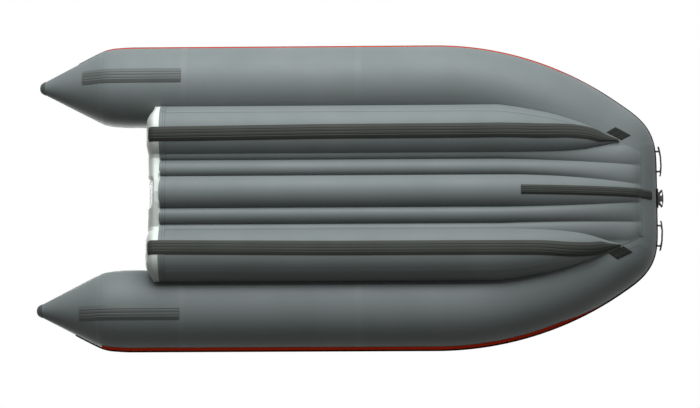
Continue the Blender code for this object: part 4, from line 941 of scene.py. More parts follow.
    def valley(self, along: float, across: float) -> float:
        """Return the height of the valleys, which end on the bow tube's underside."""
        share = self.nose_share(along)
        height = -(self.hull.radius + self.valley_below) + self.valley_slope * (across - self.centre_half)
        height += self.nose_rise * share * share
        tube = self.hull.underside(along, across)
        if tube is None:
            return height
        seat = tube - self.edge_gap - 2 * self.hull.fabric
        share = max(0.0, along - self.taper_end) / self.nose_run
        return min(blend(height, seat, min(1.0, share * share)), seat)

    def bottom(self, along: float) -> Profile:
        """Return the port half of the bottom skin's section as (across, height)."""
        lines = (0.0,) + self.rib_lines(along)
        scale = blend(1.0, self.nose_sag_share, self.nose_share(along))
        scale *= min(1.0, max(0.0, self.nose_end - along) / self.sag_fade) ** 0.5
        sags = (self.centre_sag * scale, self.rib_sag * scale)
        points = self.arcs(lines, lambda across: self.valley(along, across), sags, -1.0)
        edge = self.edges(along)[1]
        tube = self.hull.underside(along, edge)
        points.append((edge, tube - self.edge_gap - 2 * self.hull.fabric))
        return points

    def sponson(self, along: float) -> Profile:
        """Return the port sponson's outer section from its inner to its outer edge."""
        inner, outer = self.edges(along)
        hull = self.bottom(along)
        seat = self.hull.fabric + 3 * self.hull.gap
        low = Vector((inner, table_value(hull, inner) - seat))
        high = Vector((outer, table_value(hull, outer) - seat))
        chord = high - low
        way = chord.normalized()
        down = Vector((way.y, -way.x))
        half_turn = 2 * math.atan(2 * self.sponson_sag)
        radius = chord.length / 2 / math.sin(half_turn)
        centre = (low + high) / 2 - down * (radius - chord.length * self.sponson_sag)
        turns = steps_between(-half_turn, half_turn, self.sponson_steps)
        return [tuple(centre + radius * (down * math.cos(turn) + way * math.sin(turn))) for turn in turns]

    def stern(self) -> Profile:
        """Return the port half of the lowest line at the floor's aft end."""
        inner = self.edges(self.start)[0]
        hull = [point for point in self.bottom(self.start) if point[0] < inner - self.wing]
        return hull + self.sponson(self.start)

    def band_profile(self, share: float) -> Profile:
        """Return the port half of the stern band's section, from ribbed (share 0) to folded flat (1)."""
        ribs, outer = self.bottom(self.start), self.sponson(self.start)
        folds = self.band_folds + ((outer[0][0], outer[0][1] + self.hull.fabric),)
        part = [(across, blend(table_value(ribs, across), table_value(folds, across), share))
                for across in self.band_columns]
        return part + outer

    def band_row(self, profile: Profile, turn: float) -> list[Vector]:
        """Return a row of the stern band, from its flat lower part (turn 0) to its top edge (pi)."""
        base = self.fore_of_band - self.band_inset
        share = (1 - math.cos(turn)) / 2
        row = []
        for across, height in profile:
            top = self.deck_level - self.hull.fabric - self.hull.gap
            tube = self.hull.underside(base, across)
            if tube is not None:
                top = min(top, tube - self.edge_gap - 2 * self.hull.fabric)
            bulge = self.band_bulge * table_value(self.bulge_shares, abs(across) / self.widest)
            along = blend(base, self.band_aft, share) - bulge * math.sin(turn)
            along += table_value(self.corner_recess, abs(across) / self.widest)
            row.append(Vector((along, across, blend(height, max(top, height + self.hull.gap), share))))
        return row

    def deck_height(self, along: float) -> float:
        """Return the level of the deck's valleys."""
        start = self.hull.length - self.deck_rise_run
        share = max(0.0, along - start) / (self.deck_rise_run - self.deck_nose_inset)
        return self.deck_level + self.deck_rise * share * share

    def deck_edge(self, along: float) -> float:
        """Return half the deck's width, where it meets the tube's inner side."""
        low, high = 0.0, self.edges(along)[1]
        level = self.deck_height(along) + self.edge_gap + self.hull.fabric
        for _ in range(self.edge_halvings):
            middle = (low + high) / 2
            tube = self.hull.underside(along, middle)
            if tube is None or tube > level:
                low = middle
            else:
                high = middle
        return low

    def deck_lines(self, along: float) -> list[float]:
        """Return the places across the deck of its valleys, from the middle to the edge."""
        edge = self.deck_edge(along)
        scale = edge / self.deck_edge(self.fore_of_band)
        return [0.0] + [line * scale for line in self.rib_lines(self.fore_of_band)] + [edge]

    def deck(self, along: float) -> Profile:
        """Return the port half of the deck's section."""
        height = self.deck_height(along)
        return self.arcs(self.deck_lines(along), lambda across: height, (self.deck_sag, self.deck_sag), 1.0)


def both_sides(profile: Profile) -> Profile:
    """Return a half section with its mirror image before it."""
    return [(-across, height) for across, height in reversed(profile[1:])] + list(profile)


def at_place(along: float, profile: Profile) -> list[Vector]:
    """Put a section at a place along the boat."""
    return [Vector((along, across, height)) for across, height in profile]


def lifted(profile: Profile, lift: float) -> Profile:
    """Move a section off its outer side, which is the lower one."""
    moved = []
    for place, point in enumerate(profile):
        before = Vector(profile[max(0, place - 1)])
        after = Vector(profile[min(len(profile) - 1, place + 1)])
        way = (after - before).normalized()
        moved.append((point[0] + way.y * lift, point[1] - way.x * lift))
    return moved


def line_lengths(profile: Sequence[Sequence[float]]) -> list[float]:
    """Return the distance along a section at each of its points."""
    lengths = [0.0]
    for first, second in zip(profile, profile[1:]):
        lengths.append(lengths[-1] + math.dist(first, second))
    return lengths


def on_row(row: list[Vector], profile: Profile, distance: float, lift: float,
           turn: float = 0.0) -> Vector:
    """Return the point at a distance along a row of a skin, lifted off its outer side.

    Args:
        row: the row's points.
        profile: the section that the row was made from.
        distance: how far along the section.
        lift: how far off the skin.
        turn: how far the row has turned up the stern band.
    """
    lengths = line_lengths(profile)
    place = int(np.clip(np.searchsorted(lengths, distance, side="right") - 1, 0, len(profile) - 2))
    share = (distance - lengths[place]) / (lengths[place + 1] - lengths[place])
    way = (Vector(profile[place + 1]) - Vector(profile[place])).normalized()
    out = Vector((-math.sin(turn), way.y * math.cos(turn), -way.x * math.cos(turn)))
    return row[place].lerp(row[place + 1], share) + out * lift


# The boat's sub-assemblies


@dataclass
class Tubes:
    """The side tubes and the bow tube with the tapes over their seams."""

    hull: HullShape = HullShape()
    sides: int = 84
    tape_lift: float = 0.0005
    tape_thickness: float = 0.0004
    tape_half: float = 0.0175
    tape_steps: int = 4
    tip: float = 0.0155
    tip_depth: float = 0.001
    side_steps: tuple[int, int] = (44, 40)
    bow_steps: int = 14
    ring_tapes: Pair = (0.786, 1.713)
    cone_tapes: tuple[Pair, Pair] = ((0.316, 0.322), (0.331, 0.354))
    mitre_heading: float = math.radians(70.4)
    mitre_half: float = 0.016

    def build(self) -> None:
        """Build the tubes and their tapes."""
        for side in Side:
            self.side_tube(side)
            self.tapes(side)
        self.bow_tube()

    def side_tube(self, side: Side) -> None:
        """Build a side tube from its cone's tip to its baffle."""
        hull = self.hull
        places = joined_steps((self.tip, hull.cone_length, hull.chamber_end), self.side_steps)
        rows = [[Vector((self.tip - self.tip_depth, hull.offset, 0.0))] * self.sides]
        rows += [hull.straight(x).ring(self.sides) for x in places]
        piece = hull.skin(rows, hull.fabric, side, wrap=True)
        cut_valve(piece, f"{side.word}_side_valve_body", hull)
        dress(piece, f"{side.word}_side_tube_skin", Finishes.hull, [f"{side.word}_side_tube"])

    def bow_tube(self) -> None:
        """Build the bow tube, round the bow from baffle to baffle."""
        hull = self.hull
        places = steps_between(hull.chamber_end + hull.gap, hull.curve_start, self.bow_steps)
        path = mirrored_path([hull.straight(x) for x in places] + hull.bow_path()[1:])
        piece = hull.skin([station.ring(self.sides) for station in path], hull.fabric, wrap=True)
        cut_valve(piece, "bow_valve_body", hull)
        dress(piece, "bow_tube_skin", Finishes.hull, ["bow_tube"])

    def tapes(self, side: Side) -> None:
        """Build the tapes of one side: round the tube, on the cone and across the bow corner."""
        hull = self.hull
        bands = {f"ring_tape_{number}": (at - self.tape_half, at + self.tape_half)
                 for number, at in enumerate(self.ring_tapes)}
        bands |= {f"cone_tape_{number}": ends for number, ends in enumerate(self.cone_tapes)}
        paths = {name: [hull.straight(x) for x in steps_between(*ends, self.tape_steps)]
                 for name, ends in bands.items()}
        half = self.mitre_half / (2 * hull.radius)
        turns = steps_between(self.mitre_heading - half, self.mitre_heading + half, self.tape_steps)
        paths["mitre_tape"] = [hull.heading_station(turn) for turn in turns]
        for name, path in paths.items():
            rows = [station.ring(self.sides, self.tape_lift) for station in path]
            piece = hull.skin(rows, self.tape_thickness, side, wrap=True)
            dress(piece, f"{side.word}_{name}", Finishes.tape)


def valve_axis(node: str, hull: HullShape) -> tuple[Vector, Vector]:
    """Return the middle of a valve's body and the way out of the skin it sits in.

    Args:
        node: the CAD node of the valve's body.
        hull: the tubes' shape.
    """
    low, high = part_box(node)
    centre = (Vector(low) + Vector(high)) / 2
    if node.startswith("floor"):
        return centre, UP
    axis = hull.place((0.0, math.copysign(hull.offset, centre.y), 0.0))
    return centre, Vector((0.0, centre.y - axis.y, centre.z - axis.z)).normalized()


def cut_valve(piece: Piece, node: str, hull: HullShape) -> None:
    """Cut the round hole of a valve's sleeve into a skin.

    Args:
        piece: the skin.
        node: the CAD node of the valve's body.
        hull: the tubes' shape.
    """
    centre, normal = valve_axis(node, hull)
    deselect()
    bpy.ops.mesh.primitive_cylinder_add(vertices=VALVE_SIDES, radius=VALVE_RADIUS + hull.gap, depth=VALVE_DEPTH,
                                        location=centre)
    cutter = bpy.context.object
    cutter.rotation_mode = "QUATERNION"
    cutter.rotation_quaternion = normal.to_track_quat("Z", "Y")
    bpy.context.view_layer.update()
    apply_modifier(piece, "BOOLEAN", object=cutter, operation="DIFFERENCE", solver="EXACT")
    bpy.data.objects.remove(cutter, do_unlink=True)
    smooth(piece)


@dataclass
class Trim:
    """The rub rail round the boat, the red stripe below it, and the caps on the cones' tips."""

    hull: HullShape = HullShape()
    facets: int = 30
    start: float = 0.21
    stripe_start: float = 0.355
    rail_thickness: float = 0.0055
    rail_half: Table = ((0.95, 0.10), (0.93, 0.45), (0.86, 0.80), (0.72, 1.0), (0.58, 0.98), (0.46, 0.86),
                        (0.38, 0.62), (0.28, 0.58), (0.14, 0.72))
    rail_middle: Pair = (0.0, 0.76)
    cap_shape: Table = ((0.0004, 0.0), (0.0006, 0.0050), (0.0016, 0.0105), (0.0034, 0.0160), (0.0062, 0.0212),
                        (0.0100, 0.0256), (0.0150, 0.0296), (0.0210, 0.0330), (0.0290, 0.0372), (0.0306, 0.0376),
                        (0.0314, 0.0368), (0.0306, 0.0358), (0.0230, 0.0316), (0.0170, 0.0285), (0.0135, 0.0262),
                        (0.0130, 0.0))
    stripe_thickness: float = 0.0012
    stripe_ends: Pair = (math.radians(71.0), math.radians(85.0))
    stripe_fade: Pair = (2.70, 2.90)
    stripe_hidden: Pair = (math.radians(85.0), math.radians(88.0))
    seat_steps: int = 8
    rail_bevel: float = 0.0006
    cap_sides: int = 48

    def build(self) -> None:
        """Build the rail, the stripe and the caps."""
        hull, half = self.hull, math.pi / self.facets
        edge = self.rail_half[0][0]
        shares = [(-across, up) for across, up in self.rail_half] + [self.rail_middle]
        shares += [*self.rail_half[::-1], (edge, 0.0), (0.0, 0.0), (-edge, 0.0)]
        rail = [(math.pi / 2 + half * across, hull.gap + self.rail_thickness * up) for across, up in shares]
        rows = [[station.point(angle, lift) for angle, lift in rail] for station in hull.whole_path(self.start)]
        dress(hull.solid(rows, bevel=self.rail_bevel), "rub_rail_rubber", Finishes.rail, ["rub_rail"])
        rows = [self.stripe_row(station) for station in hull.whole_path(self.stripe_start)]
        dress(hull.solid(rows), "red_stripe_tape", Finishes.stripe, ["red_stripe"])
        for side in Side:
            rows = [hull.round_section(x, size).ring(self.cap_sides) for x, size in self.cap_shape]
            node = f"{side.word}_cone_cap"
            dress(hull.solid(rows, side), f"{node}_moulded", Finishes.cap, [node])

    def stripe_row(self, station: Station) -> list[Vector]:
        """Return the stripe's section at a station; it runs out under the rail towards the bow."""
        begin, end = self.stripe_fade
        fade = min(1.0, max(0.0, (station.centre.x - begin) / (end - begin)))
        ends = [blend(seen, hidden, fade) for seen, hidden in zip(self.stripe_ends, self.stripe_hidden)]
        spots = steps_between(*ends, self.seat_steps)
        top = self.hull.gap + self.stripe_thickness
        return ([station.point(spot, self.hull.gap) for spot in reversed(spots)]
                + [station.point(spot, top) for spot in spots])


@dataclass
class Floor:
    """The ribbed bottom skin, the sponsons, the stern band, the deck and the tapes on them."""

    shape: FloorShape = FloorShape()
    band_steps: int = 36
    band_blend: Table = ((0.0, 0.0), (0.003, 0.15), (0.006, 0.5), (0.009, 0.85), (0.012, 1.0))
    fold_angle: float = 6.5
    tape_lift: float = 0.0010
    tape_thickness: float = 0.0007
    joint_tape: Pair = (0.6690, 0.7000)
    joint_lines: tuple[Pair, Pair] = ((0.6860, 0.6885), (0.6990, 0.7015))
    joint_steps: int = 3
    line_lift: float = 0.0018
    bottom_pace: float = 0.03
    pace: float = 0.02
    sponson_tip: Triple = (0.006, 0.0, 0.001)
    seam_shares: Pair = (0.690, 0.740)
    seam_inset: float = 0.06
    strip_steps: int = 6
    nose_tape: Pair = (0.022, 0.016)
    nose_steps: tuple[int, int] = (8, 60)
    nose_lift: float = 0.0012
    attach_width: float = 0.034
    attach_inset: float = 0.012
    attach_overlap: float = 0.002
    attach_reach: float = 0.004
    deck_steps: int = 60

    def build(self) -> None:
        """Build the floor's skins and tapes."""
        shape, hull = self.shape, self.shape.hull
        places = shape.along_places(shape.nose_end, self.bottom_pace)
        rows = [at_place(x, both_sides(shape.bottom(x))) for x in places]
        piece = hull.skin(rows, hull.fabric, inward=False)
        dress(piece, "floor_bottom_fabric", Finishes.hull, ["floor_bottom_skin"])
        for side in Side:
            self.sponson(side)
            self.attach_tape(side)
        self.stern_band()
        self.stern_tapes()
        self.nose_strip()
        self.deck()

    def tape(self, rows: Rows, name: str, side: Side = Side.PORT, finish: Finish = Finishes.tape) -> None:
        """Build a tape from rows in the hull's axes."""
        dress(self.shape.hull.skin(rows, self.tape_thickness, side, inward=False), name, finish)

    def sponson(self, side: Side) -> None:
        """Build a sponson's skin and the tape along its seam."""
        shape, hull = self.shape, self.shape.hull
        places = shape.along_places(shape.taper_end, self.pace)
        rows = [at_place(x, shape.sponson(x)) for x in places]
        rows.append([(rows[-1][0] + rows[-1][-1]) / 2 + Vector(self.sponson_tip)] * len(rows[-1]))
        piece = hull.skin(rows, hull.fabric, side, inward=False)
        dress(piece, f"{side.word}_sponson_fabric", Finishes.hull, [f"{side.word}_sponson"])
        rows = []
        for x in [x for x in places if x < shape.taper_end - self.seam_inset]:
            section = shape.sponson(x)
            span = line_lengths(section)[-1]
            rows.append([on_row(at_place(x, section), section, span * spot, self.tape_lift)
                         for spot in steps_between(*self.seam_shares, self.strip_steps)])
        self.tape(rows, f"{side.word}_sponson_seam_tape", side)

    def attach_tape(self, side: Side) -> None:
        """Build the tape that joins the floor's edge to the tube."""
        shape, hull = self.shape, self.shape.hull
        rows = []
        for x in shape.along_places(shape.nose_end - self.attach_inset, self.pace):
            edge = shape.edges(x)[1]
            turn = math.atan2(edge - shape.edges(x + self.attach_reach)[1], self.attach_reach)
            row = []
            for spot in steps_between(0.0, self.attach_width, self.strip_steps):
                along = x + spot * math.sin(turn)
                across = edge - self.attach_overlap + spot * math.cos(turn)
                under = hull.underside(along, across)
                row.append(Vector((along, across, (under if under else -hull.radius) - self.tape_lift)))
            rows.append(row)
        self.tape(rows, f"{side.word}_floor_edge_tape", side)

    def stern_band(self) -> None:
        """Build the pale band that closes the floor aft."""
        shape = self.shape
        rows = [at_place(shape.fore_of_band - back, both_sides(shape.band_profile(share)))
                for back, share in self.band_blend]
        profile = both_sides(shape.band_profile(1.0))
        rows += [shape.band_row(profile, turn) for turn in steps_between(0.0, math.pi, self.band_steps)]
        piece = shape.hull.skin(rows[::-1], shape.hull.fabric, inward=False)
        smooth(piece, self.fold_angle)
        dress(piece, "stern_band_fabric", Finishes.band, ["stern_band"])

    def stern_tapes(self) -> None:
        """Build the grey tape across the joint ahead of the stern band, with its two welded lines."""
        pieces = [("tape", self.joint_tape, self.tape_lift, Finishes.tape)]
        pieces += [(f"line_{number}", ends, self.line_lift, Finishes.seam)
                   for number, ends in enumerate(self.joint_lines)]
        for name, ends, lift, finish in pieces:
            profile = both_sides(lifted(self.shape.stern(), lift))
            rows = [at_place(x, profile) for x in steps_between(*ends, self.joint_steps)]
            self.tape(rows, f"stern_joint_{name}", finish=finish)

    def nose_strip(self) -> None:
        """Build the straight tape over the floor's fore end."""
        shape, end = self.shape, self.shape.nose_end
        edge = shape.edges(end)[1]
        rows = []
        for x in steps_between(end - self.nose_tape[0], end + self.nose_tape[1], self.nose_steps[0]):
            row = []
            for across in steps_between(-edge, edge, self.nose_steps[1]):
                low = shape.hull.underside(x, across) - self.nose_lift
                if x <= end:
                    low = min(low, table_value(shape.bottom(x), abs(across)) - self.tape_lift)
                row.append(Vector((x, across, low)))
            rows.append(row)
        self.tape(rows, "floor_nose_tape")

    def deck(self) -> None:
        """Build the deck with its low ribs and the hole of its valve, and finish what lies under it."""
        shape, hull = self.shape, self.shape.hull
        places = steps_between(shape.band_aft, hull.length - shape.deck_nose_inset, self.deck_steps)
        piece = hull.skin([at_place(x, both_sides(shape.deck(x))) for x in places], hull.fabric)
        cut_valve(piece, "floor_valve_body", hull)
        dress(piece, "floor_deck_fabric", Finishes.deck, ["floor_deck_skin"])
        for node, finish in (("inner_web", Finishes.tape), ("outer_web", Finishes.tape),
                             ("baffle", Finishes.hull)):
            for side in Side:
                finish_node(f"{side.word}_{node}", finish)


def finish_node(node: str, finish: Finish) -> None:
    """Give a CAD node that stays its own finish."""
    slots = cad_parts[node].material_slots
    for slot in slots:
        slot.material = finish.material()
    LOG.info("%s: kept, %d slots", node, len(slots))


@dataclass
class Strakes:
    """The ribbed rubber strakes under the boat and the patches on cones and bow."""

    shape: FloorShape = FloorShape()
    width: float = 0.077
    height: float = 0.006
    room_share: float = 0.84
    place_shares: Table = ((-2.85, 0.362), (-1.40, 0.396), (0.0, 0.400), (0.38, 0.454), (0.647, 0.585),
                           (0.781, 0.650), (1.0, 0.680))
    keel_width: float = 0.049
    keel_run: float = 0.7373
    keel_nose: Pair = (37.4, 56.0)
    bevel_share: float = 0.24
    edge_low: float = 0.12
    grooves: tuple[float, ...] = (0.30, 0.52, 0.72)
    groove_half: float = 0.024
    groove_depth: float = 0.30
    steps: int = 62
    seat_gap: float = 0.0009
    place_ease: float = 0.08
    band_turn: float = math.pi / 4
    turn_steps: int = 6
    pace: float = 0.015
    keel_steps: tuple[int, int] = (60, 14)
    keel_inset: float = 0.004
    patch_steps: tuple[int, int] = (16, 6)
    patch_start: float = 0.245
    patch_end: float = 0.776
    patch_width: float = 0.077
    patch_offset: float = 0.030
    bow_inset: float = 0.212
    bow_offset: float = 0.317
    bow_long: float = 0.090
    bow_short: float = 0.058
    bow_angles: Pair = (math.radians(-26.6), math.radians(31.0))
    bow_thickness: float = 0.003
    bow_steps: tuple[int, int] = (24, 36)
    bow_cells: tuple[int, int] = (2, 3)
    cell_low: float = 0.55
    cell_edge: float = 0.14

    def build(self) -> None:
        """Build the strakes and patches."""
        for side in Side:
            self.sponson_strake(side)
            self.cone_patch(side)
            self.bow_patch(side)
        self.keel_strake()

    def ridge(self, share: float) -> float:
        """Return the height of the ridged top at a share of the width, from 0 to 1."""
        rise = min(1.0, min(share, 1.0 - share) / self.bevel_share)
        groove = max(math.exp(-((share - spot) / self.groove_half) ** 2) for spot in self.grooves)
        return blend(self.edge_low, 1.0, rise) * (1.0 - self.groove_depth * groove)

    def spots(self) -> Profile:
        """Return the closed section as (share across, lift off the skin), seat first."""
        shares = [(spot, 0.0) for spot in steps_between(0.0, 1.0, self.steps // 2)]
        shares += [(spot, self.ridge(spot)) for spot in steps_between(0.0, 1.0, self.steps)[::-1]]
        return [(across, self.seat_gap + self.height * up) for across, up in shares]

    def section(self, row: list[Vector], profile: Profile, middle: float, width: float,
                turn: float = 0.0) -> list[Vector]:
        """Return the strake's section where it lies on a row of a skin."""
        return [on_row(row, profile, middle + width * (across - 0.5), lift, turn)
                for across, lift in self.spots()]

    def on_sponson(self, along: float, turn: Optional[float] = None) -> list[Vector]:
        """Return the section on the port sponson, or where the strake turns up the stern band."""
        shape = self.shape
        profile = shape.sponson(along)
        row = at_place(along, profile) if turn is None else shape.band_row(profile, turn)
        lengths = line_lengths(profile)
        share = (along - shape.taper_start) / (shape.taper_end - shape.taper_start)
        across = blend(profile[0][0], profile[-1][0], eased_value(self.place_shares, share, self.place_ease))
        middle = table_value([(point[0], length) for point, length in zip(profile, lengths)], across)
        room = 2 * min(middle, lengths[-1] - middle) * self.room_share
        return self.section(row, profile, middle, min(self.width, room), turn or 0.0)

    def sponson_strake(self, side: Side) -> None:
        """Build the strake under a sponson, from the stern band to the sponson's tip."""
        shape = self.shape
        turns = steps_between(self.band_turn, 0.0, self.turn_steps)
        sections = [self.on_sponson(shape.start, turn) for turn in turns]
        sections += [self.on_sponson(x) for x in shape.along_places(shape.taper_end, self.pace)]
        self.rubber(sections, f"{side.word}_sponson_strake", Finishes.strake, side)

    def rubber(self, sections: Rows, node: str, finish: Finish, side: Side = Side.PORT) -> None:
        """Build a strake or a patch from its sections in the hull's axes."""
        dress(self.shape.hull.solid(sections, side), f"{node}_rubber", finish, [node])

    def keel_strake(self) -> None:
        """Build the strake on the middle rib and up the front of the bow tube."""
        shape, hull = self.shape, self.shape.hull
        sections = []
        for x in steps_between(hull.length - self.keel_run, shape.nose_end - self.keel_inset, self.keel_steps[0]):
            profile = both_sides(shape.bottom(x))
            middle = line_lengths(profile)[-1] / 2
            sections.append(self.section(at_place(x, profile), profile, middle, self.keel_width))
        axis = Vector((hull.front_axis, 0.0, hull.rise(hull.front_axis)))
        for angle in steps_between(*(math.radians(end) for end in self.keel_nose), self.keel_steps[1]):
            out = Vector((math.sin(angle), 0.0, -math.cos(angle)))
            sections.append([axis + out * (hull.radius + lift) + Vector((0.0, self.keel_width * (across - 0.5), 0.0))
                             for across, lift in self.spots()])
        self.rubber(sections, "keel_strake", Finishes.strake)

    def cone_patch(self, side: Side) -> None:
        """Build the ribbed patch under a cone."""
        hull = self.shape.hull
        places = joined_steps((self.patch_start, hull.cone_length, self.patch_end), self.patch_steps)
        sections = []
        for station in map(hull.straight, places):
            start = (self.patch_offset - self.patch_width / 2) / station.half_width
            turn = self.patch_width / station.half_width
            sections.append([station.point(start + turn * across, lift) for across, lift in self.spots()])
        self.rubber(sections, f"{side.word}_cone_patch", Finishes.patch, side)

    def bow_patch(self, side: Side) -> None:
        """Build the small ribbed patch on the bow tube ahead of a sponson."""
        hull = self.shape.hull
        middle = Vector((hull.length - self.bow_inset, self.bow_offset))
        ways = [Vector((math.cos(angle), math.sin(angle))) for angle in self.bow_angles]
        rows, columns = self.bow_steps
        sections = []
        for row in steps_between(-0.5, 0.5, rows):
            start = middle + ways[1] * (self.bow_short * row)
            line = [start + ways[0] * (self.bow_long * step) for step in steps_between(-0.5, 0.5, columns)]
            seat = [Vector((p.x, p.y, hull.underside(p.x, p.y) - self.seat_gap)) for p in line]
            heights = [min(self.cell(row + 0.5, self.bow_cells[0]), self.cell(spot, self.bow_cells[1]))
                       for spot in steps_between(0.0, 1.0, columns)]
            face = [point - UP * self.bow_thickness * height for point, height in zip(seat, heights)]
            sections.append(seat + face[::-1])
        self.rubber(sections, f"{side.word}_bow_patch", Finishes.pads, side)

    def cell(self, share: float, count: int) -> float:
        """Return the height of a row of raised pads at a share of the way across them."""
        place = share * count % 1.0
        if share <= 0.0 or share >= 1.0:
            return self.cell_low
        return blend(self.cell_low, 1.0, min(1.0, min(place, 1.0 - place) / self.cell_edge))


@dataclass(frozen=True)
class Screw:
    """A low domed screw head with a round recess."""

    radius: float = 0.0050
    height: float = 0.0022
    sides: int = 24
    insets: tuple[Pair, ...] = ((0.0011, 0.00055), (0.00115, 0.00022), (0.0002, -0.0012))
    smooth_angle: float = 30.0
    top_cosine: float = 0.99

    def build(self, name: str, place: Vector, normal: Vector, body: str = HULL) -> None:
        """Build the head on a surface.

        Args:
            name: the piece's name.
            place: the middle of its seat.
            normal: the way it points.
            body: the CAD body that it moves with.
        """
        deselect()
        turn = normal.to_track_quat("Z", "Y").to_euler()
        bpy.ops.mesh.primitive_cylinder_add(vertices=self.sides, radius=self.radius, depth=self.height,
                                            location=place + normal * (self.height / 2), rotation=turn)
        piece = pick(bpy.context.object)
        bpy.ops.object.transform_apply(location=True, rotation=True, scale=True)
        bpy.ops.object.mode_set(mode="EDIT")
        bpy.ops.mesh.select_all(action="DESELECT")
        bpy.ops.object.mode_set(mode="OBJECT")
        for face in piece.data.polygons:
            face.select = face.normal.dot(normal) > self.top_cosine
        bpy.ops.object.mode_set(mode="EDIT")
        for thickness, depth in self.insets:
            bpy.ops.mesh.inset(thickness=thickness, depth=depth)
        bpy.ops.object.mode_set(mode="OBJECT")
        smooth(piece, self.smooth_angle)
        dress(piece, name, Finishes.steel, body=body)


@dataclass
class BowFittings:
    """The tow eye with its ring, and the two carrying handles."""

    handle_bevel: float = 0.0026
    plate_bevel: float = 0.0008
    ring_bevel: float = 0.0018

    def build(self) -> None:
        """Build the fittings at the bow."""
        for side in Side:
            moulded(f"{side.word}_bow_handle", Finishes.fitting, self.handle_bevel, segments=3)
        dress(refined("tow_eye_base", self.plate_bevel), "tow_eye_plate", Finishes.fitting, ["tow_eye_base"])
        moulded("tow_ring", Finishes.fitting, self.ring_bevel, segments=3, body="tow_ring")


@dataclass
class Transom:
    """The transom board with its glued holders, motor plates and drain."""

    hull: HullShape = HullShape()
    aft: float = 0.630
    thickness: float = 0.025
    rake: float = math.radians(10.0)
    deck_level: float = -0.120
    holder_width: float = 0.100
    holder_aft: float = 0.034
    holder_base: float = 0.003
    lip_width: float = 0.010
    lip_height: float = 0.018
    end_share: float = 0.35
    angles: Pair = (math.radians(300.0), math.radians(240.0))
    board_bevel: float = 0.0025
    plate_bevel: float = 0.0022
    socket_bevel: float = 0.0006
    plug_bevel: float = 0.0012
    screw_inset: float = 0.014
    holder_steps: int = 24
    taper_share: float = 0.2
    round_off: float = 0.004

    def build(self) -> None:
        """Build the transom's pieces."""
        moulded("transom_board", Finishes.board, self.board_bevel, segments=3, word="painted")
        for side in Side:
            self.holder(side)
        for node, way in (("outer_motor_plate", -1.0), ("inner_motor_plate", 1.0)):
            moulded(node, Finishes.plate, self.plate_bevel, segments=3)
            self.screws(node, way)
        moulded("drain_socket", Finishes.valve, self.socket_bevel)
        moulded("drain_plug", Finishes.fitting, self.plug_bevel, body="drain_plug")

    def middle(self, height: float, offset: float = 0.0) -> float:
        """Return the place along the boat of the raked board's middle plane."""
        return self.aft + self.thickness / 2 + (self.deck_level - height) * math.tan(self.rake) + offset

    def holder(self, side: Side) -> None:
        """Build the U-shaped strip that holds the board's edge to the tube."""
        half, thick = self.holder_width / 2, self.thickness / 2 + self.hull.gap
        outer = thick + self.lip_width
        sections = []
        for share in steps_between(0.0, 1.0, self.holder_steps):
            angle = blend(*self.angles, share)
            taper = blend(self.end_share, 1.0, min(1.0, min(share, 1.0 - share) / self.taper_share))
            base, lip = self.holder_base, blend(self.holder_base, self.lip_height, taper)
            shape = [(half, 0.0), (half, base * 0.3), (half - self.round_off, base * 0.75),
                     (outer + self.round_off, base), (outer, base + self.round_off / 2),
                     (thick + self.lip_width * 0.75, lip - self.round_off), (thick + self.lip_width * 0.5, lip),
                     (thick, lip), (thick, base)]
            shape += [(-min(offset, self.holder_aft), height) for offset, height in reversed(shape)]
            section = []
            for offset, lift in shape:
                reach = self.hull.radius + self.hull.gap + lift
                height = -reach * math.cos(angle)
                across = self.hull.offset + reach * math.sin(angle)
                section.append(Vector((self.middle(height, offset), across, height)))
            sections.append(section)
        node = f"{side.word}_transom_holder"
        dress(self.hull.solid(sections, side), f"{node}_rubber", Finishes.rail, [node])

    def screws(self, node: str, way: float) -> None:
        """Build the four screws of a motor plate.

        Args:
            node: the plate's CAD node.
            way: 1 for the plate that faces the bow and -1 for the other.
        """
        low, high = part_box(node)
        normal = Vector((math.cos(self.rake), 0.0, math.sin(self.rake))) * way
        for row, z in enumerate((low[2] + self.screw_inset, high[2] - self.screw_inset)):
            share = (high[2] - z) / (high[2] - low[2])
            slope = (high[2] - low[2]) * math.tan(self.rake)
            face = (high[0] - slope * (1 - share)) if way > 0 else (low[0] + slope * share)
            for column, y in enumerate((low[1] + self.screw_inset, high[1] - self.screw_inset)):
                Screw().build(f"{node}_screw_{row}{column}", Vector((face, y, z)), normal)


@dataclass
class Valves:
    """The inflation valves: body, plunger and cap of each."""

    names: tuple[str, ...] = ("port_side", "starboard_side", "bow", "floor")
    bevel: float = 0.0008

    def build(self) -> None:
        """Build each valve's pieces from its CAD nodes."""
        for name in self.names:
            moulded(f"{name}_valve_body", Finishes.valve, self.bevel)
            for part, bevel in (("plunger", self.bevel / 2), ("cap", self.bevel)):
                node = f"{name}_valve_{part}"
                moulded(node, Finishes.fitting, bevel, body=node)


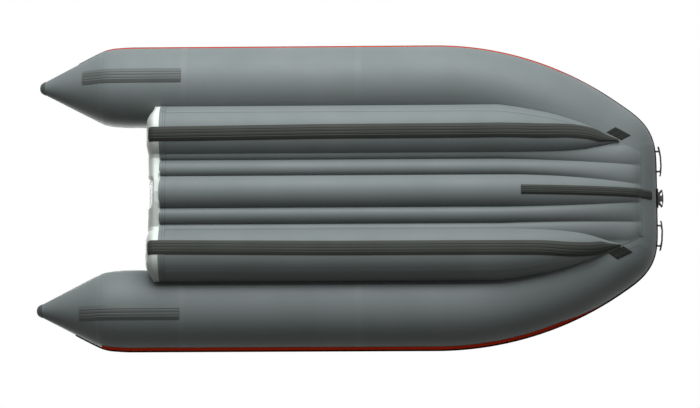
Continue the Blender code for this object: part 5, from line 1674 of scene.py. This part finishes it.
@dataclass
class Benches:
    """The bench rails glued to the tubes, and the two benches that slide in them."""

    names: tuple[str, ...] = ("aft", "fore")
    board_bevel: float = 0.0045
    shoe_bevel: float = 0.0015
    rail_bevel: float = 0.0005
    pad_width: float = 0.030
    pad_inset: float = 0.035
    pad_height: float = 0.0012
    pad_gap: float = 0.0002
    pad_reach_inset: float = 0.085
    pad_steps: tuple[int, int] = (3, 24)
    screw_shares: Pair = (0.28, 0.72)

    def build(self) -> None:
        """Build the rails, shoes and boards."""
        for side in Side:
            moulded(f"{side.word}_bench_rail", Finishes.rail, self.rail_bevel, word="rubber")
        for name in self.names:
            body = f"{name}_bench"
            moulded(f"{body}_board", Finishes.bench, self.board_bevel, segments=4, body=body, word="painted")
            for side in Side:
                moulded(f"{body}_{side.word}_shoe", Finishes.fitting, self.shoe_bevel, body=body)
                self.shoe_screws(name, side)
            self.pads(name)

    def shoe_screws(self, name: str, side: Side) -> None:
        """Build the two screws through a bench's board into a shoe."""
        low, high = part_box(f"{name}_bench_{side.word}_shoe")
        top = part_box(f"{name}_bench_board")[1][2]
        for number, share in enumerate(self.screw_shares):
            place = Vector((blend(low[0], high[0], share), (low[1] + high[1]) / 2, top))
            Screw().build(f"{name}_bench_{side.word}_screw_{number}", place, UP, f"{name}_bench")

    def pads(self, name: str) -> None:
        """Build the two non-slip strips along a bench's board."""
        low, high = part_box(f"{name}_bench_board")
        reach, level = high[1] - self.pad_reach_inset, high[2] + self.pad_height
        for number, edge in enumerate((low[0] + self.pad_inset, high[0] - self.pad_inset - self.pad_width)):
            rows = [[Vector((x, y, level)) for y in steps_between(-reach, reach, self.pad_steps[1])]
                    for x in steps_between(edge, edge + self.pad_width, self.pad_steps[0])]
            piece = sheet(rows, self.pad_height - self.pad_gap)
            dress(piece, f"{name}_bench_grip_{number}", Finishes.pad, body=f"{name}_bench")


@dataclass
class Oarlocks:
    """The oarlock bases on the tubes and the forks that turn in them."""

    base_bevel: float = 0.0012
    fork_bevel: float = 0.0020
    fork_angle: float = 40.0

    def build(self) -> None:
        """Build both oarlocks."""
        for side in Side:
            moulded(f"{side.word}_oarlock_base", Finishes.fitting, self.base_bevel)
            node = f"{side.word}_oarlock_fork"
            moulded(node, Finishes.fitting, self.fork_bevel, segments=3, body=node, angle=self.fork_angle)


# Studio


def facing(out: Vector) -> Matrix:
    """Return the turn that points local Z along a way, with local X as near the boat's X as it goes."""
    side = Vector((1.0, 0.0, 0.0))
    side = (side - out * side.dot(out)).normalized()
    return Matrix((side, out.cross(side), out)).transposed().to_4x4()


def placed(name: str, data: bpy.types.ID, place: Matrix) -> Piece:
    """Link a new object with a lamp's or a camera's data into the scene at a place."""
    item = bpy.data.objects.new(name, data)
    bpy.context.scene.collection.objects.link(item)
    item.matrix_world = place
    return item


@dataclass(frozen=True)
class SoftLamp:
    """A soft box: the way it lies from the boat, its distance, its sides and its level."""

    name: str
    way: Triple
    distance: float
    size: Pair
    level: float
    tint: Triple = (1.0, 1.0, 1.0)

    def build(self, middle: Vector) -> None:
        """Hang the lamp so that it faces the boat, with its long side along X."""
        lamp = bpy.data.lights.new(self.name, "AREA")
        lamp.shape = "RECTANGLE"
        lamp.size, lamp.size_y = self.size
        lamp.energy = math.pi ** 2 * self.distance ** 2 * self.level
        lamp.color = self.tint
        out = Vector(self.way).normalized()
        item = placed(self.name, lamp, Matrix.Translation(middle + out * self.distance) @ facing(out))
        item.visible_camera = False


@dataclass
class Studio:
    """The pale floor, the white surround, the lamps and the camera."""

    floor_size: float = 14.0
    floor_colour: Triple = (0.80, 0.80, 0.79)
    surround: float = 0.112
    surround_tint: Triple = (1.0, 0.97, 0.88)
    lamps: tuple[SoftLamp, ...] = (
        SoftLamp("key_below", (0.0, -0.775, -0.632), 6.0, (6.4, 4.2), 1.90, (0.95, 0.99, 1.0)),
        SoftLamp("top_starboard", (-0.25, -0.18, 0.95), 6.5, (5.0, 3.0), 0.66),
        SoftLamp("top_port", (-0.20, 0.36, 0.91), 7.0, (5.0, 2.4), 0.54),
    )
    camera_way: Triple = (0.0228, 0.1431, -0.9897)
    camera_target: Triple = (-0.0050, 0.0338, 0.3175)
    camera_distance: float = 13.94
    clip_end: float = 100.0
    view_width: float = 3.728
    roll: float = math.radians(-0.32)

    def build(self) -> None:
        """Set up the studio and the camera."""
        bpy.context.scene.view_settings.view_transform = "Standard"
        self.white_surround()
        self.floor()
        low, high = CAD_BOX
        middle = (Vector(low) + Vector(high)) / 2
        for lamp in self.lamps:
            lamp.build(middle)
        self.camera()

    def camera(self) -> None:
        """Place the camera below the boat, tilted to port, as the photograph was taken."""
        data = bpy.data.cameras.new("camera")
        data.angle = 2 * math.atan(self.view_width / 2 / self.camera_distance)
        data.clip_end = self.clip_end
        back = Vector(self.camera_way).normalized()
        place = Matrix.Translation(Vector(self.camera_target) + back * self.camera_distance)
        turn = facing(back) @ Matrix.Rotation(self.roll, 4, "Z")
        bpy.context.scene.camera = placed("camera", data, place @ turn)

    def white_surround(self) -> None:
        """Give the world a white look to the eye and a low even light for the boat."""
        world = bpy.data.worlds.new("studio")
        bpy.context.scene.world = world
        world.use_nodes = True
        nodes = Nodes(world.node_tree)
        path = nodes.add("ShaderNodeLightPath").outputs
        seen = nodes.math("MAXIMUM", path["Is Camera Ray"], path["Is Glossy Ray"])
        seen = nodes.math("MAXIMUM", seen, path["Is Transmission Ray"])
        level = nodes.add("ShaderNodeMapRange", {"clamp": True}, Value=seen, To_Min=self.surround, To_Max=1.0)
        background = world.node_tree.nodes["Background"]
        nodes.feed(background.inputs["Color"], nodes.mix(seen, self.surround_tint, (1.0, 1.0, 1.0)))
        nodes.feed(background.inputs["Strength"], level.outputs["Result"])

    def floor(self) -> None:
        """Lay a pale floor that shows from above only and lets the lamps below it through."""
        deselect()
        bpy.ops.mesh.primitive_plane_add(size=self.floor_size, location=(0.0, 0.0, 0.0))
        piece = bpy.context.object
        piece.name = "studio_floor"
        paint = bpy.data.materials.new("studio_floor")
        paint.use_nodes = True
        nodes = Nodes(paint.node_tree)
        paint.node_tree.nodes.remove(paint.node_tree.nodes["Principled BSDF"])
        matte = nodes.add("ShaderNodeBsdfDiffuse", Color=self.floor_colour)
        clear = nodes.add("ShaderNodeBsdfTransparent")
        seen = nodes.add("ShaderNodeLightPath").outputs["Is Camera Ray"]
        front = nodes.math("SUBTRACT", 1.0, nodes.add("ShaderNodeNewGeometry").outputs["Backfacing"])
        mix = nodes.add("ShaderNodeMixShader")
        feeds = (nodes.math("MULTIPLY", seen, front), clear.outputs["BSDF"], matte.outputs["BSDF"])
        for socket, value in zip(mix.inputs, feeds):
            nodes.feed(socket, value)
        nodes.feed(paint.node_tree.nodes["Material Output"].inputs["Surface"], mix.outputs["Shader"])
        piece.data.materials.append(paint)


def main() -> None:
    """Build the studio and the boat."""
    logging.basicConfig(level=logging.INFO, format="%(message)s")
    Studio().build()
    for part in (Tubes(), Trim(), Floor(), Strakes(), BowFittings(), Transom(), Valves(), Benches(), Oarlocks()):
        part.build()
    deselect()


if __name__ == "__main__":
    main()
